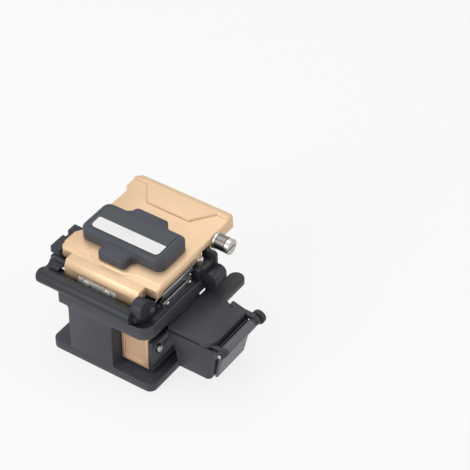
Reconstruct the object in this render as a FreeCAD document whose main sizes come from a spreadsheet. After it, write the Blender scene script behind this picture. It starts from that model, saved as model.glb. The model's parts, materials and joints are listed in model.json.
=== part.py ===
"""Fibre cleaver: a bench tool that scores and breaks an optical fibre square.

Frame: millimetres, +X to the right, +Y away from the hinge bar, +Z up. The origin lies on the
base plate's underside, halfway front to back. The fibre lies along X, over the slot in the deck.
"""
import FreeCAD, Part
import os
import re
import Sketcher

# Driving dimensions: each is written once, here, and reaches the pieces through the sheet.
SIZES = {
    # clearances, and how far a cut runs past the face it opens
    "running_gap": 0.05, "moving_gap": 0.3, "seat_gap": 0.2, "screw_gap": 0.04, "overshoot": 1.0,
    # base casting: plate, column and deck
    "plate_left_reach": 30.5, "plate_right_reach": 27.5, "plate_deep": 60.0, "plate_thick": 4.8,
    "plate_corner": 3.8, "column_inset": 11.1, "inner_fillet": 1.2,
    "deck_under": 30.8, "deck_thick": 7.2, "deck_inset": 5.1, "deck_wide": 51.2, "deck_deep": 57.0,
    "deck_corner": 6.5, "deck_small_corner": 1.5,
    "slot_inset": 5.8, "slot_wide": 5.5, "slot_front_wall": 9.0, "slot_long": 41.0,
    "corner_recess_wall": 0.9, "corner_recess_deep": 2.4,
    "rim_groove_inset": 1.3, "rim_groove_wide": 0.8, "rim_groove_deep": 0.8, "rim_groove_long": 36.0,
    # fibre line
    "fibre_y": 0.0, "fibre_lift": 3.8,
    # hinge yoke: bar, its flat on the deck, and the hinge line
    "bar_radius": 3.85, "bar_flat": 0.2, "bar_setback": 1.4, "bar_overhang": 11.3, "bar_end_chamfer": 1.3,
    "hinge_setback": 9.3, "hinge_lift": 5.2, "pin_radius": 1.5, "pin_inset": 1.5, "pin_proud": 0.3,
    # left ear, with a swept foot and a scoop beside the lid's tongue
    "ear_back": 4.2, "left_ear_wide": 9.6, "left_ear_front": 1.0, "left_ear_rise": 4.4,
    "left_ear_crest": 0.4, "left_ear_back_lift": 1.5, "left_ear_foot": 1.6, "left_ear_sweep": 2.4,
    "left_ear_shoulder": 1.8, "sweep_start": 1.0,
    "scoop_wide": 2.6, "scoop_setback": 2.6, "scoop_lift": 1.9, "scoop_radius": 2.0,
    # right ear
    "right_ear_wide": 5.6, "right_ear_rise": 2.7, "ear_top_corner": 1.4, "ear_crest": 0.6,
    "ear_slope_deep": 3.4, "ear_slope_high": 2.6, "ear_sweep": 2.4, "ear_bar_bite": 0.8,
    "ear_boss_radius": 2.9, "ear_boss_thick": 0.5,
    "ear_taper_wide": 3.6, "ear_taper_edge": 0.2, "ear_taper_setback": 3.2,
    # lid
    "lid_left_overhang": 7.6, "lid_right_inset": 3.4, "lid_under_lift": 8.3, "lid_thick": 4.8,
    "lid_shoulder_setback": 13.1, "lid_long": 74.8, "lid_mid_step": 0.8, "lid_back_step": 1.1,
    "tongue_front_setback": 6.6, "tongue_inset": 7.5, "tongue_right_inset": 6.6, "tongue_drop": 7.2,
    "tongue_bevel_deep": 1.7, "tongue_bevel_high": 3.2, "tongue_round": 2.3,
    "lid_front_corner": 3.3, "lid_back_corner": 2.8, "lid_back_right_corner": 0.9, "lid_side_bevel": 1.4,
    "lid_notch_front": 47.6, "lid_notch_back": 54.6, "lid_notch_deep": 3.0,
    "lid_recess_front": 24.6, "lid_recess_front_ramp": 3.6, "lid_recess_back_inset": 9.6,
    "lid_recess_back_ramp": 2.7, "lid_recess_deep": 2.2,
    "mid_step_setback": 16.8, "mid_step_forward": 2.8, "mid_step_half": 8.0, "mid_step_ramp": 5.0,
    "back_step_inset": 3.7, "back_step_forward": 11.2, "back_step_half": 12.0, "back_step_ramp": 8.5,
    "step_bevel": 0.6,
    # nickel cover plate on the lid's tongue
    "cover_plate_wide": 22.0, "cover_plate_high": 5.2, "cover_plate_thick": 0.8,
    "cover_plate_inset": 7.5, "cover_plate_foot": 1.4,
    # press pad and its label
    "pad_wide": 46.4, "pad_deep": 22.0, "pad_high": 7.0, "pad_setback": 23.0, "pad_offset": 0.4,
    "pad_corner": 4.2, "pad_edge": 1.3, "lobe_edge": 1.0, "lobe_corner": 2.2, "lobe_root": 0.5,
    "lobe_flare": 1.76, "front_lobe_wide": 15.5, "front_lobe_deep": 7.4, "front_lobe_high": 5.0,
    "back_lobe_wide": 19.0, "back_lobe_deep": 4.4, "back_lobe_high": 6.0,
    "label_margin": 2.4, "label_recess": 0.4, "label_thick": 0.25, "label_corner": 2.0,
    # clamps and anvil
    "jaw_long": 23.0, "right_jaw_wide": 2.4, "left_jaw_wide": 5.6, "jaw_gap": 6.3, "jaw_offset": 1.0,
    "upper_jaw_high": 3.8, "crossbar_long": 2.4, "crossbar_high": 2.8, "clamp_float": 0.8,
    "rubber_thick": 0.85, "rubber_wide": 1.6, "fibre_gap": 0.3,
    "guide_screw_offset": 1.5, "guide_screw_bite": 2.6, "guide_head": 1.2, "guide_head_high": 0.8,
    "anvil_wide": 1.5, "anvil_long": 8.0, "anvil_clear": 0.9,
    # guide rail and slider
    "rail_setback": 11.5, "rail_long": 45.5, "rail_high": 1.6, "rail_wide": 5.0, "rail_foot_wide": 3.6,
    "rail_foot_high": 0.4, "rail_flank_high": 0.7, "rail_offset": 1.2,
    "slider_wide": 9.0, "slider_long": 22.0, "slider_high": 5.5, "slider_lift": 0.5,
    # blade carriage
    "carriage_long": 26.6, "carriage_wide": 14.2, "carriage_reach": 0.8, "blade_under_gap": 1.9,
    "push_thick": 2.9, "push_wide": 15.2, "push_under": 6.7, "push_under_deck": 0.6, "push_front": 6.8,
    "push_dish_margin": 1.9, "push_dish_deep": 0.9, "push_dish_corner": 1.6,
    "side_plate_thick": 2.4, "side_plate_under": 5.8, "side_plate_long": 29.5,
    "side_groove_high": 0.5, "side_groove_lift": 2.6, "side_groove_deep": 0.4,
    "side_screw_head": 2.0, "side_head_sunk": 1.26, "side_screw_bite": 4.0,
    "side_screw_front": 4.8, "side_screw_span": 18.0, "side_screw_lift": 12.4,
    "blade_radius": 8.0, "blade_thick": 0.7, "blade_front": 20.5, "blade_hub": 2.5, "blade_edge": 0.25,
    "hub_head_radius": 3.4, "hub_head_thick": 0.5, "hub_screw_radius": 1.2, "hub_slot_wide": 0.8,
    "arm_thick": 2.8, "arm_half": 4.0, "arm_flare": 1.6, "arm_root": 1.0, "arm_round": 3.6,
    "arm_inset": 0.5,
    # fibre holder on the left
    "holder_left_overhang": 14.6, "holder_inner": 6.9, "holder_front": 22.0, "holder_back": 37.0,
    "holder_high": 4.0, "holder_arm_drop": 0.7, "holder_ear_front": 14.3,
    "holder_rib_high": 2.3, "holder_rib_wide": 2.0, "holder_rib_inset": 2.0, "groove_half": 0.9,
    # its lever, lug, pin and magnet
    "lever_wide": 6.0, "lever_under_lift": 4.8, "lever_top_lift": 8.8, "lever_front": 15.0,
    "lever_neck_front": 24.6, "lever_neck_back": 28.2, "lever_back": 33.8, "lever_neck_inset": 1.3,
    "lever_neck_drop": 0.7, "lever_grip_drop": 0.5, "lever_round": 0.5,
    "lever_pin_setback": 17.2, "lever_pin_lift": 6.3, "lever_pin_radius": 1.0, "lever_pin_inset": 0.8,
    "lever_lug_wide": 2.0, "lug_half": 2.2, "lug_rise": 1.6,
    "magnet_radius": 1.6, "magnet_thick": 1.8, "magnet_setback": 2.6,
    # lid catch
    "post_side": 6.0, "post_inset": 5.9, "post_setback": 50.5, "post_gap": 0.3,
    # lid guide bracket
    "bracket_tuck": 1.6, "bracket_foot_front": 41.0, "bracket_foot_wide": 4.7, "bracket_foot_high": 6.5,
    "bracket_plate_inset": 2.2, "bracket_plate_front": 51.0, "bracket_plate_thick": 2.0,
    "bracket_plate_wide": 8.0, "bracket_plate_high": 11.2, "bracket_corner": 2.0,
    "boss_radius": 3.6, "boss_front": 43.8, "boss_drop": 3.2, "boss_axis_lift": 0.8,
    "bracket_screw_inset": 4.8,
    # lifting peg at the lid's free corner
    "peg_setback": 60.0, "peg_lift": 1.9, "peg_bite": 5.0, "peg_washer_radius": 4.2,
    "peg_washer_thick": 1.1,
    "peg_collar_radius": 3.8, "peg_collar_long": 4.9, "peg_head_radius": 3.9, "peg_head_long": 2.2,
    "peg_shank_radius": 1.5, "peg_neck_radius": 3.2, "peg_neck_long": 0.5, "peg_slot_wide": 0.9,
    "peg_slot_deep": 0.8,
    # waste bin: shell
    "bin_front": 15.4, "bin_deep": 27.7, "bin_under": 7.6, "bin_drop": 3.6, "bin_wall": 1.4,
    "bin_tuck": 1.2, "bin_top_wide": 27.3, "bin_foot_inset": 7.2, "bin_foot_wide": 17.3,
    "bin_knee_inset": 5.2, "bin_knee_lift": 11.2, "bin_knee_round": 11.0, "bin_corner": 2.2,
    "bin_foot_edge": 0.9, "flange_wide": 3.6, "flange_thick": 1.4,
    # waste bin: cover, door and their pin
    "cover_thick": 2.0, "cover_wide": 24.2, "cover_edge": 0.7, "cover_corner": 6.4,
    "door_thick": 1.4, "door_margin": 3.6, "door_sill": 0.4, "door_tuck": 0.4, "door_shoulder": 1.6,
    "barrel_radius": 2.36, "barrel_web": 1.9, "barrel_reach": 3.1, "barrel_drop": 0.2,
    "bin_pin_radius": 1.0, "bin_pin_proud": 0.6, "pin_head_radius": 3.5, "pin_head_long": 2.4,
    "knuckle_long": 1.9, "lug_long": 1.3, "lug_high": 4.0, "lug_radius": 2.2,
    "back_knuckle_setin": 0.5, "back_knuckle_long": 2.8,
    "brace_inset": 15.6, "brace_high": 2.3, "brace_low": 0.5, "brace_saddle": 3.0, "brace_barrel_rise": 3.0,
    # waste bin: finger tab
    "tab_inset": 7.3, "tab_wide": 4.8, "tab_offset": 1.95, "tab_thick": 2.8, "tab_rise": 1.95,
    "tab_reach": 13.9, "tab_root": 4.0, "tab_flat": 5.0, "tab_seat": 0.4, "tab_end_radius": 4.1,
    # fasteners
    "small_screw": 0.8, "medium_screw": 1.25, "screw_long": 5.0,
}

# Places and sizes that follow from the driving dimensions.
PLACES = {
    "front": "-plate_deep / 2",
    "plate_left": "-plate_left_reach",
    "plate_right": "plate_right_reach",
    "column_left": "plate_left + column_inset",
    "column_right": "push_left - moving_gap",
    "deck_left": "plate_left + deck_inset",
    "deck_right": "deck_left + deck_wide",
    "deck_back": "front + deck_deep",
    "deck_top": "deck_under + deck_thick",
    "slot_right": "deck_right - slot_inset",
    "slot_left": "slot_right - slot_wide",
    "slot_front": "front + slot_front_wall",
    "fibre_z": "deck_top + fibre_lift",
    "bar_y": "front + bar_setback",
    "bar_z": "deck_top + bar_radius - bar_flat",
    "yoke_left": "deck_left - bar_overhang",
    "hinge_y": "front + hinge_setback",
    "hinge_z": "deck_top + hinge_lift",
    "left_ear_top": "hinge_z + left_ear_rise",
    "right_ear_top": "hinge_z + right_ear_rise",
    "lid_left": "deck_left - lid_left_overhang",
    "lid_right": "deck_right - lid_right_inset",
    "lid_middle": "(lid_left + lid_right) / 2",
    "lid_under": "deck_top + lid_under_lift",
    "lid_front_top": "lid_under + lid_thick",
    "lid_mid_top": "lid_front_top + lid_mid_step",
    "lid_back_top": "lid_mid_top + lid_back_step",
    "lid_back": "front + lid_long",
    "lid_recess_back": "lid_back - lid_recess_back_inset",
    "mid_step_line": "front + mid_step_setback",
    "back_step_line": "lid_back - back_step_inset",
    "lid_shoulder": "front + lid_shoulder_setback",
    "tongue_left": "lid_left + tongue_inset",
    "tongue_right": "lid_right - tongue_right_inset",
    "tongue_front": "front + tongue_front_setback",
    "tongue_under": "lid_under - tongue_drop",
    "left_ear_right": "tongue_left - moving_gap",
    "left_ear_left": "left_ear_right - left_ear_wide",
    "right_ear_left": "tongue_right + moving_gap",
    "right_ear_right": "right_ear_left + right_ear_wide",
    "cover_plate_left": "tongue_left + cover_plate_inset",
    "cover_plate_under": "tongue_under + cover_plate_foot",
    "pad_left": "lid_middle - pad_wide / 2 - pad_offset",
    "pad_front": "front + pad_setback",
    "pad_back": "pad_front + pad_deep",
    "pad_top": "lid_mid_top + pad_high",
    "right_jaw_left": "slot_right + seat_gap",
    "right_jaw_right": "right_jaw_left + right_jaw_wide",
    "left_jaw_right": "right_jaw_left - jaw_gap",
    "left_jaw_left": "left_jaw_right - left_jaw_wide",
    "jaw_front": "fibre_y - jaw_long / 2 - jaw_offset",
    "jaw_back": "jaw_front + jaw_long",
    "lower_rubber_top": "fibre_z - fibre_gap / 2",
    "upper_rubber_under": "fibre_z + fibre_gap / 2",
    "upper_jaw_under": "upper_rubber_under + rubber_thick",
    "frame_top": "upper_jaw_under + upper_jaw_high",
    "clamp_pocket_top": "frame_top + clamp_float + seat_gap",
    "blade_left": "slot_left + 2 * arm_inset + arm_thick - seat_gap",
    "blade_right": "blade_left + blade_thick",
    "blade_y": "front + blade_front",
    "blade_z": "fibre_z - blade_radius",
    "arm_left": "slot_left + arm_inset",
    "arm_right": "arm_left + arm_thick",
    "carriage_right": "slot_right + carriage_reach",
    "carriage_left": "carriage_right - carriage_wide",
    "push_left": "carriage_right - push_wide",
    "push_y": "front + push_front",
    "push_top": "deck_under - push_under_deck",
    "carriage_front": "push_y + push_thick",
    "carriage_back": "carriage_front + carriage_long",
    "carriage_top": "blade_z - blade_radius - blade_under_gap",
    "carriage_under": "slider_under + slider_high",
    "slider_under": "plate_thick + slider_lift",
    "rail_middle": "(carriage_left + carriage_right) / 2 - rail_offset",
    "rail_front": "front + rail_setback",
    "rail_top": "plate_thick + rail_high",
    "side_right": "carriage_right + side_plate_thick",
    "holder_left": "deck_left - holder_left_overhang",
    "holder_right": "deck_left + holder_inner",
    "holder_top": "deck_top + holder_high",
    "lever_left": "holder_left - seat_gap",
    "lever_right": "lever_left + lever_wide",
    "lever_pin_y": "front + lever_pin_setback",
    "lever_pin_z": "deck_top + lever_pin_lift",
    "post_x": "deck_left + post_inset",
    "post_y": "front + post_setback",
    "post_top": "lid_under - post_gap",
    "bracket_left": "right_jaw_right - bracket_tuck",
    "bracket_right": "bracket_left + bracket_foot_wide",
    "bracket_front": "front + bracket_foot_front",
    "bracket_back": "front + bracket_plate_front",
    "bracket_plate_left": "lid_right - bracket_plate_inset",
    "boss_left": "deck_right + seat_gap / 2",
    "boss_x": "boss_left + boss_radius",
    "boss_z": "deck_top + boss_axis_lift",
    "notch_top": "deck_top + bracket_plate_high + moving_gap",
    "peg_y": "front + peg_setback",
    "peg_z": "lid_under + peg_lift",
    "bin_y": "front + bin_front",
    "bin_back": "bin_y + bin_deep",
    "bin_top": "deck_under - bin_drop",
    "bin_left_top": "deck_right - bin_tuck",
    "bin_right_top": "bin_left_top + bin_top_wide",
    "bin_left_foot": "bin_left_top + bin_foot_inset",
    "bin_left_knee": "bin_left_top + bin_knee_inset",
    "bin_right_foot": "bin_left_foot + bin_foot_wide",
    "flange_left": "deck_right + seat_gap / 2 - flange_wide",
    "cover_left": "deck_right + moving_gap",
    "cover_right": "cover_left + cover_wide",
    "cover_under": "bin_top + seat_gap / 2",
    "cover_top": "cover_under + cover_thick",
    "barrel_x": "bin_right_top + barrel_reach",
    "barrel_z": "bin_top - barrel_drop",
    "front_lug_y": "bin_y + seat_gap / 2",
    "knuckle_front": "front_lug_y + lug_long + seat_gap",
    "door_front": "knuckle_front + knuckle_long + seat_gap",
    "back_knuckle_y": "bin_back - back_knuckle_setin",
    "back_lug_y": "back_knuckle_y - seat_gap - lug_long",
    "door_back": "back_lug_y - seat_gap",
    "pin_back": "back_knuckle_y + back_knuckle_long",
    "brace_left": "cover_left + brace_inset",
    "tab_left": "cover_left + tab_inset",
    "tab_x": "tab_left + tab_offset",
    "tab_end_y": "bin_back + tab_reach",
}

NEAR = 0.02          # an edge or face this close to a place is taken to lie there
ALONG = 0.999        # share of a direction from which a line runs along an axis
UPRIGHT = 0.9        # share from which a leaning edge still counts as upright
SOCKET_RADIUS = 0.55  # hexagon socket of a cap screw, as shares of its head
SOCKET_DEPTH = 0.6

FACES = {"XY_Plane": ("x", "y"), "XZ_Plane": ("x", "z"), "YZ_Plane": ("y", "z")}
SIDEWAYS = {"x": FreeCAD.Rotation(FreeCAD.Vector(0, 1, 0), 90),
            "y": FreeCAD.Rotation(FreeCAD.Vector(1, 0, 0), -90),
            "z": FreeCAD.Rotation()}

doc = FreeCAD.newDocument("fibre_cleaver")
sheet = doc.addObject("Spreadsheet::Sheet", "sizes")
for row, (alias, value) in enumerate(SIZES.items(), start=1):
    sheet.set(f"A{row}", alias)
    sheet.set(f"B{row}", str(value))
    sheet.setAlias(f"B{row}", alias)
doc.recompute()
nodes = {}


# ---------------------------------------------------------------- helpers
def plain(text):
    """Turn an expression over SIZES and PLACES into one over the sheet's cells."""
    def swap(found):
        word = found.group()
        if word in PLACES:
            return "(" + plain(PLACES[word]) + ")"
        return "sizes." + word
    return re.sub(r"[a-z][a-z_]*", swap, str(text))


def number(text):
    """Value of an expression, in millimetres."""
    return float(sheet.evalExpression(plain(text)))


def bind(thing, slot, text):
    """Tie one property of a document object to an expression."""
    thing.setExpression(slot, plain(text))


def keep(label, thing):
    """Give a finished sub-part its name."""
    thing.Label = label
    nodes[label] = thing
    return thing


def new_body(label):
    """Start a PartDesign body."""
    return keep(label, doc.addObject("PartDesign::Body", label + "_body"))


def sketch_on(body, plane, level):
    """Sketch on one of the body's own planes, moved to a level along that plane's axis."""
    sketch = body.newObject("Sketcher::SketchObject", "outline")
    role = next(item for item in body.Origin.OriginFeatures if item.Role == plane)
    sketch.AttachmentSupport = [(role, "")]
    sketch.MapMode = "FlatFace"
    sign = "-" if plane == "XZ_Plane" else ""
    bind(sketch, "AttachmentOffset.Base.z", f"{sign}({level})")
    return sketch


def fix_point(sketch, geometry, end, place):
    """Hold one sketch point at an (across, up) pair of expressions."""
    for kind, text in zip(("DistanceX", "DistanceY"), place):
        rule = Sketcher.Constraint(kind, -1, 1, geometry, end, number(text))
        bind(sketch, f"Constraints[{sketch.addConstraint(rule)}]", text)


def draw_polygon(sketch, corners):
    """Closed outline through the corners, each an (across, up) pair of expressions."""
    spots = [FreeCAD.Vector(number(across), number(up), 0) for across, up in corners]
    for index, spot in enumerate(spots):
        sketch.addGeometry(Part.LineSegment(spot, spots[(index + 1) % len(spots)]))
    for index in range(len(spots)):
        sketch.addConstraint(Sketcher.Constraint("Coincident", index, 2, (index + 1) % len(spots), 1))
    for index, corner in enumerate(corners):
        fix_point(sketch, index, 1, corner)


def draw_circle(sketch, centre, radius):
    """Circle with its centre and radius tied to expressions."""
    middle = FreeCAD.Vector(number(centre[0]), number(centre[1]), 0)
    circle = sketch.addGeometry(Part.Circle(middle, FreeCAD.Vector(0, 0, 1), number(radius)))
    fix_point(sketch, circle, 3, centre)
    rule = Sketcher.Constraint("Radius", circle, number(radius))
    bind(sketch, f"Constraints[{sketch.addConstraint(rule)}]", radius)


def rectangle(left, right, low, high):
    """Corners of an upright rectangle."""
    return [(left, low), (right, low), (right, high), (left, high)]


def grow(body, plane, start, end, draw, *shape):
    """Pad a drawn outline from one level to the next along the plane's axis."""
    sketch = sketch_on(body, plane, start)
    draw(sketch, *shape)
    pad = body.newObject("PartDesign::Pad", "pad")
    pad.Profile = sketch
    bind(pad, "Length", f"({end}) - ({start})")
    pad.Reversed = plane == "XZ_Plane"
    sketch.Visibility = False
    doc.recompute()
    return pad


def carve(body, plane, start, end, draw, *shape):
    """Pocket a drawn outline between two levels along the plane's axis."""
    before = body.Shape.Volume
    sketch = sketch_on(body, plane, start if plane == "XZ_Plane" else end)
    draw(sketch, *shape)
    pocket = body.newObject("PartDesign::Pocket", "pocket")
    pocket.Profile = sketch
    bind(pocket, "Length", f"({end}) - ({start})")
    doc.recompute()
    if not body.Shape.Volume < before:
        raise RuntimeError(f"{body.Label}: a pocket removed nothing")
    return pocket


def block_on(body, low, high):
    """Pad a box between two corners, each an (x, y, z) triple of expressions."""
    return grow(body, "XY_Plane", low[2], high[2], draw_polygon,
                rectangle(low[0], high[0], low[1], high[1]))


def block_off(body, low, high):
    """Pocket a box between two corners."""
    return carve(body, "XY_Plane", low[2], high[2], draw_polygon,
                 rectangle(low[0], high[0], low[1], high[1]))


def edges_along(shape, axis, **places):
    """Names of the straight edges that run along an axis at the given places."""
    wanted = {key: number(text) for key, text in places.items()}
    found = []
    for index, edge in enumerate(shape.Edges, start=1):
        if edge.Curve.TypeId != "Part::GeomLine":
            continue
        if abs(getattr(edge.Curve.Direction, axis)) < ALONG:
            continue
        middle = edge.CenterOfMass
        if all(abs(getattr(middle, key) - value) < NEAR for key, value in wanted.items()):
            found.append(f"Edge{index}")
    return found


def edges_of_face(shape, axis, level):
    """Names of all edges of the flat face that looks along an axis at a level."""
    height = number(level)
    names = []
    for face in shape.Faces:
        if face.Surface.TypeId != "Part::GeomPlane" or abs(getattr(face.normalAt(0, 0), axis)) < ALONG:
            continue
        if abs(getattr(face.CenterOfMass, axis) - height) > NEAR:
            continue
        for edge in face.OuterWire.Edges:
            names += [f"Edge{i}" for i, other in enumerate(shape.Edges, 1) if other.isSame(edge)]
    return sorted(set(names))


def soften(body, kind, size, names):
    """Fillet or chamfer the named edges of a body's tip."""
    if not names:
        raise RuntimeError(f"{body.Label}: no edge to soften")
    tip = body.Tip
    feature = body.newObject("PartDesign::" + kind, kind.lower())
    feature.Base = (tip, names)
    bind(feature, "Radius" if kind == "Fillet" else "Size", size)
    doc.recompute()
    return feature


def round_at(body, radius, axis, *spots):
    """Fillet the edges along an axis at each spot, a dictionary of places."""
    names = [name for spot in spots for name in edges_along(body.Shape, axis, **spot)]
    return soften(body, "Fillet", radius, names)


def box(label, low, high):
    """Part box between two corners."""
    solid = doc.addObject("Part::Box", label)
    for slot, start, end in zip(("Length", "Width", "Height"), low, high):
        bind(solid, slot, f"({end}) - ({start})")
    for slot, start in zip("xyz", low):
        bind(solid, "Placement.Base." + slot, start)
    return solid


def rod(label, axis, start, radius, length):
    """Part cylinder from a start point along an axis."""
    solid = doc.addObject("Part::Cylinder", label)
    bind(solid, "Radius", radius)
    bind(solid, "Height", length)
    solid.Placement = FreeCAD.Placement(FreeCAD.Vector(), SIDEWAYS[axis])
    for slot, text in zip("xyz", start):
        bind(solid, "Placement.Base." + slot, text)
    return solid


def hexagon(label, axis, start, radius, length):
    """Hexagonal prism from a start point along an axis."""
    solid = doc.addObject("Part::Prism", label)
    solid.Polygon = 6
    bind(solid, "Circumradius", radius)
    bind(solid, "Height", length)
    solid.Placement = FreeCAD.Placement(FreeCAD.Vector(), SIDEWAYS[axis])
    for slot, text in zip("xyz", start):
        bind(solid, "Placement.Base." + slot, text)
    return solid


def joined(label, *pieces):
    """Boolean union."""
    solid = doc.addObject("Part::MultiFuse", label)
    solid.Shapes = list(pieces)
    return solid


def less(label, base, tool):
    """Boolean difference."""
    solid = doc.addObject("Part::Cut", label)
    solid.Base = base
    solid.Tool = tool
    return solid


def together(label, pieces):
    """Group of separate solids in one sub-part."""
    group = doc.addObject("Part::Compound", label + "_group")
    group.Links = list(pieces)
    return keep(label, group)


def shifted(point, axis, text):
    """The point moved along an axis by an expression."""
    index = "xyz".index(axis)
    moved = list(point)
    moved[index] = f"({point[index]}) + ({text})"
    return tuple(moved)


def screw(label, axis, towards, seat, shank, head, head_high, long, socket=True):
    """Cap screw whose head stands on the seat point and looks along +axis or -axis."""
    if towards > 0:
        head_start, shank_start = seat, shifted(seat, axis, f"-({long})")
        socket_start = shifted(seat, axis, f"({head_high}) * (1 - {SOCKET_DEPTH})")
    else:
        head_start, shank_start = shifted(seat, axis, f"-({head_high})"), seat
        socket_start = head_start
    whole = joined(label, rod(label + "_head", axis, head_start, head, head_high),
                   rod(label + "_shank", axis, shank_start, shank, long))
    if not socket:
        return whole
    hollow = hexagon(label + "_hex", axis, socket_start, f"({head}) * {SOCKET_RADIUS}",
                     f"({head_high}) * {SOCKET_DEPTH}")
    return less(label + "_cap", whole, hollow)


def bore(body, axis, start, radius, length):
    """Round hole from a start point along an axis."""
    plane = {"x": "YZ_Plane", "y": "XZ_Plane", "z": "XY_Plane"}[axis]
    across, up = FACES[plane]
    centre = (start["xyz".index(across)], start["xyz".index(up)])
    level = start["xyz".index(axis)]
    return carve(body, plane, level, f"({level}) + ({length})", draw_circle, centre, radius)


# ---------------------------------------------------------------- base
def make_base_casting():
    """C-shaped casting: plate, column and deck, open to the front right for the blade carriage."""
    body = new_body("base_casting")
    block_on(body, ("plate_left", "front", "0"), ("plate_right", "-front", "plate_thick"))
    block_on(body, ("column_left", "front", "plate_thick"), ("column_right", "deck_back", "deck_under"))
    block_on(body, ("deck_left", "front", "deck_under"), ("deck_right", "deck_back", "deck_top"))
    round_at(body, "plate_corner", "z", *({"x": x, "y": y, "z": "plate_thick / 2"}
                                          for x in ("plate_left", "plate_right") for y in ("front",
                                                                                           "-front")))
    recess_right = "deck_right - corner_recess_wall"
    recess_front = "front + corner_recess_wall"
    block_off(body, ("slot_left", recess_front, "deck_top - corner_recess_deep"),
              (recess_right, "slot_front", "deck_top"))
    round_at(body, "deck_corner - corner_recess_wall", "z", {"x": recess_right, "y": recess_front})
    round_at(body, "deck_corner", "z", {"x": "deck_right", "y": "front"})
    round_at(body, "deck_small_corner", "z", {"x": "deck_right", "y": "deck_back"},
             {"x": "deck_left", "y": "front"}, {"x": "deck_left", "y": "deck_back"})
    round_at(body, "inner_fillet", "y", {"x": "column_right", "z": "plate_thick"},
             {"x": "column_right", "z": "deck_under"}, {"x": "column_left", "z": "plate_thick"},
             {"x": "column_left", "z": "deck_under"})
    block_off(body, ("slot_left", "slot_front", "deck_under - overshoot"),
              ("slot_right", "slot_front + slot_long", "deck_top"))
    groove_right = "deck_right - rim_groove_inset"
    block_off(body, (f"{groove_right} - rim_groove_wide", "slot_front", "deck_top - rim_groove_deep"),
              (groove_right, "slot_front + rim_groove_long", "deck_top"))
    spot = bracket_screw_spot()
    bore(body, "z", (spot[0], spot[1], "deck_top - screw_long"), "small_screw + screw_gap", "screw_long")


# ---------------------------------------------------------------- hinge
def left_ear_profile():
    """Side view of the left ear: an upright behind the bar with a swept foot and a sloping back."""
    face = "hinge_y - left_ear_front"
    return [("bar_y", "deck_top"), ("hinge_y + ear_back", "deck_top"),
            ("hinge_y + ear_back", "hinge_z + left_ear_back_lift"),
            ("hinge_y + left_ear_crest", "left_ear_top"),
            (face, "left_ear_top"), (face, "bar_z + left_ear_foot"),
            ("bar_y + sweep_start", "bar_z + bar_radius - sweep_start / 2"), ("bar_y", "bar_z")]


def right_ear_profile():
    """Side view of the right ear: low, with its front leaning back to the crest."""
    back, top = "hinge_y + ear_back", "right_ear_top"
    return [("bar_y", "deck_top"), (back, "deck_top"), (back, f"{top} - ear_top_corner"),
            (f"{back} - ear_top_corner", top), ("hinge_y - ear_crest", top),
            ("hinge_y - ear_slope_deep", f"{top} - ear_slope_high"), ("bar_y", "bar_z")]


def make_hinge_yoke():
    """Round front bar, flat where it rests on the deck, with two ears that carry the hinge pin."""
    body = new_body("hinge_yoke")
    bar_right = "right_ear_left + ear_bar_bite"
    grow(body, "YZ_Plane", "yoke_left", bar_right, draw_circle, ("bar_y", "bar_z"), "bar_radius")
    soften(body, "Chamfer", "bar_end_chamfer", [
        f"Edge{i}" for i, edge in enumerate(body.Shape.Edges, 1)
        if edge.Curve.TypeId == "Part::GeomCircle" and abs(edge.CenterOfMass.x - number("yoke_left")) < NEAR])
    carve(body, "YZ_Plane", "yoke_left", bar_right, draw_polygon, rectangle(
        "bar_y - bar_radius", "bar_y + bar_radius", "deck_top - overshoot", "deck_top"))
    grow(body, "YZ_Plane", "left_ear_left", "left_ear_right", draw_polygon, left_ear_profile())
    round_at(body, "left_ear_sweep", "x", {"y": "hinge_y - left_ear_front", "z": "bar_z + left_ear_foot"})
    shoulder = "left_ear_top - left_ear_shoulder"
    carve(body, "XZ_Plane", "bar_y", "hinge_y + ear_back", draw_polygon, [
        ("left_ear_left - overshoot", shoulder), ("left_ear_left", shoulder),
        ("left_ear_left + left_ear_shoulder", "left_ear_top"),
        ("left_ear_left + left_ear_shoulder", "left_ear_top + overshoot"),
        ("left_ear_left - overshoot", "left_ear_top + overshoot")])
    carve(body, "YZ_Plane", "left_ear_right - scoop_wide", "left_ear_right", draw_circle,
          ("hinge_y - scoop_setback", "bar_z + scoop_lift"), "scoop_radius")
    grow(body, "YZ_Plane", "right_ear_left", "right_ear_right", draw_polygon, right_ear_profile())
    grow(body, "YZ_Plane", "right_ear_right", "right_ear_right + ear_boss_thick", draw_circle,
         ("hinge_y", "hinge_z"), "ear_boss_radius")
    round_at(body, "ear_sweep", "x", {"y": "hinge_y - ear_slope_deep",
                                      "z": "right_ear_top - ear_slope_high"})
    taper_back = "hinge_y - ear_taper_setback"
    carve(body, "XY_Plane", "deck_top", "right_ear_top + overshoot", draw_polygon,
          [("right_ear_right - ear_taper_wide", "bar_y"), ("right_ear_right + overshoot", "bar_y"),
           ("right_ear_right + overshoot", taper_back), ("right_ear_right - ear_taper_edge", taper_back)])
    pin_start = "left_ear_left + pin_inset"
    bore(body, "x", (pin_start, "hinge_y", "hinge_z"), "pin_radius + screw_gap / 2",
         f"right_ear_right + ear_boss_thick + overshoot - ({pin_start})")
    keep("hinge_pin", rod("pin", "x", (pin_start, "hinge_y", "hinge_z"), "pin_radius",
                          f"right_ear_right + ear_boss_thick + pin_proud - ({pin_start})"))


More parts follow.
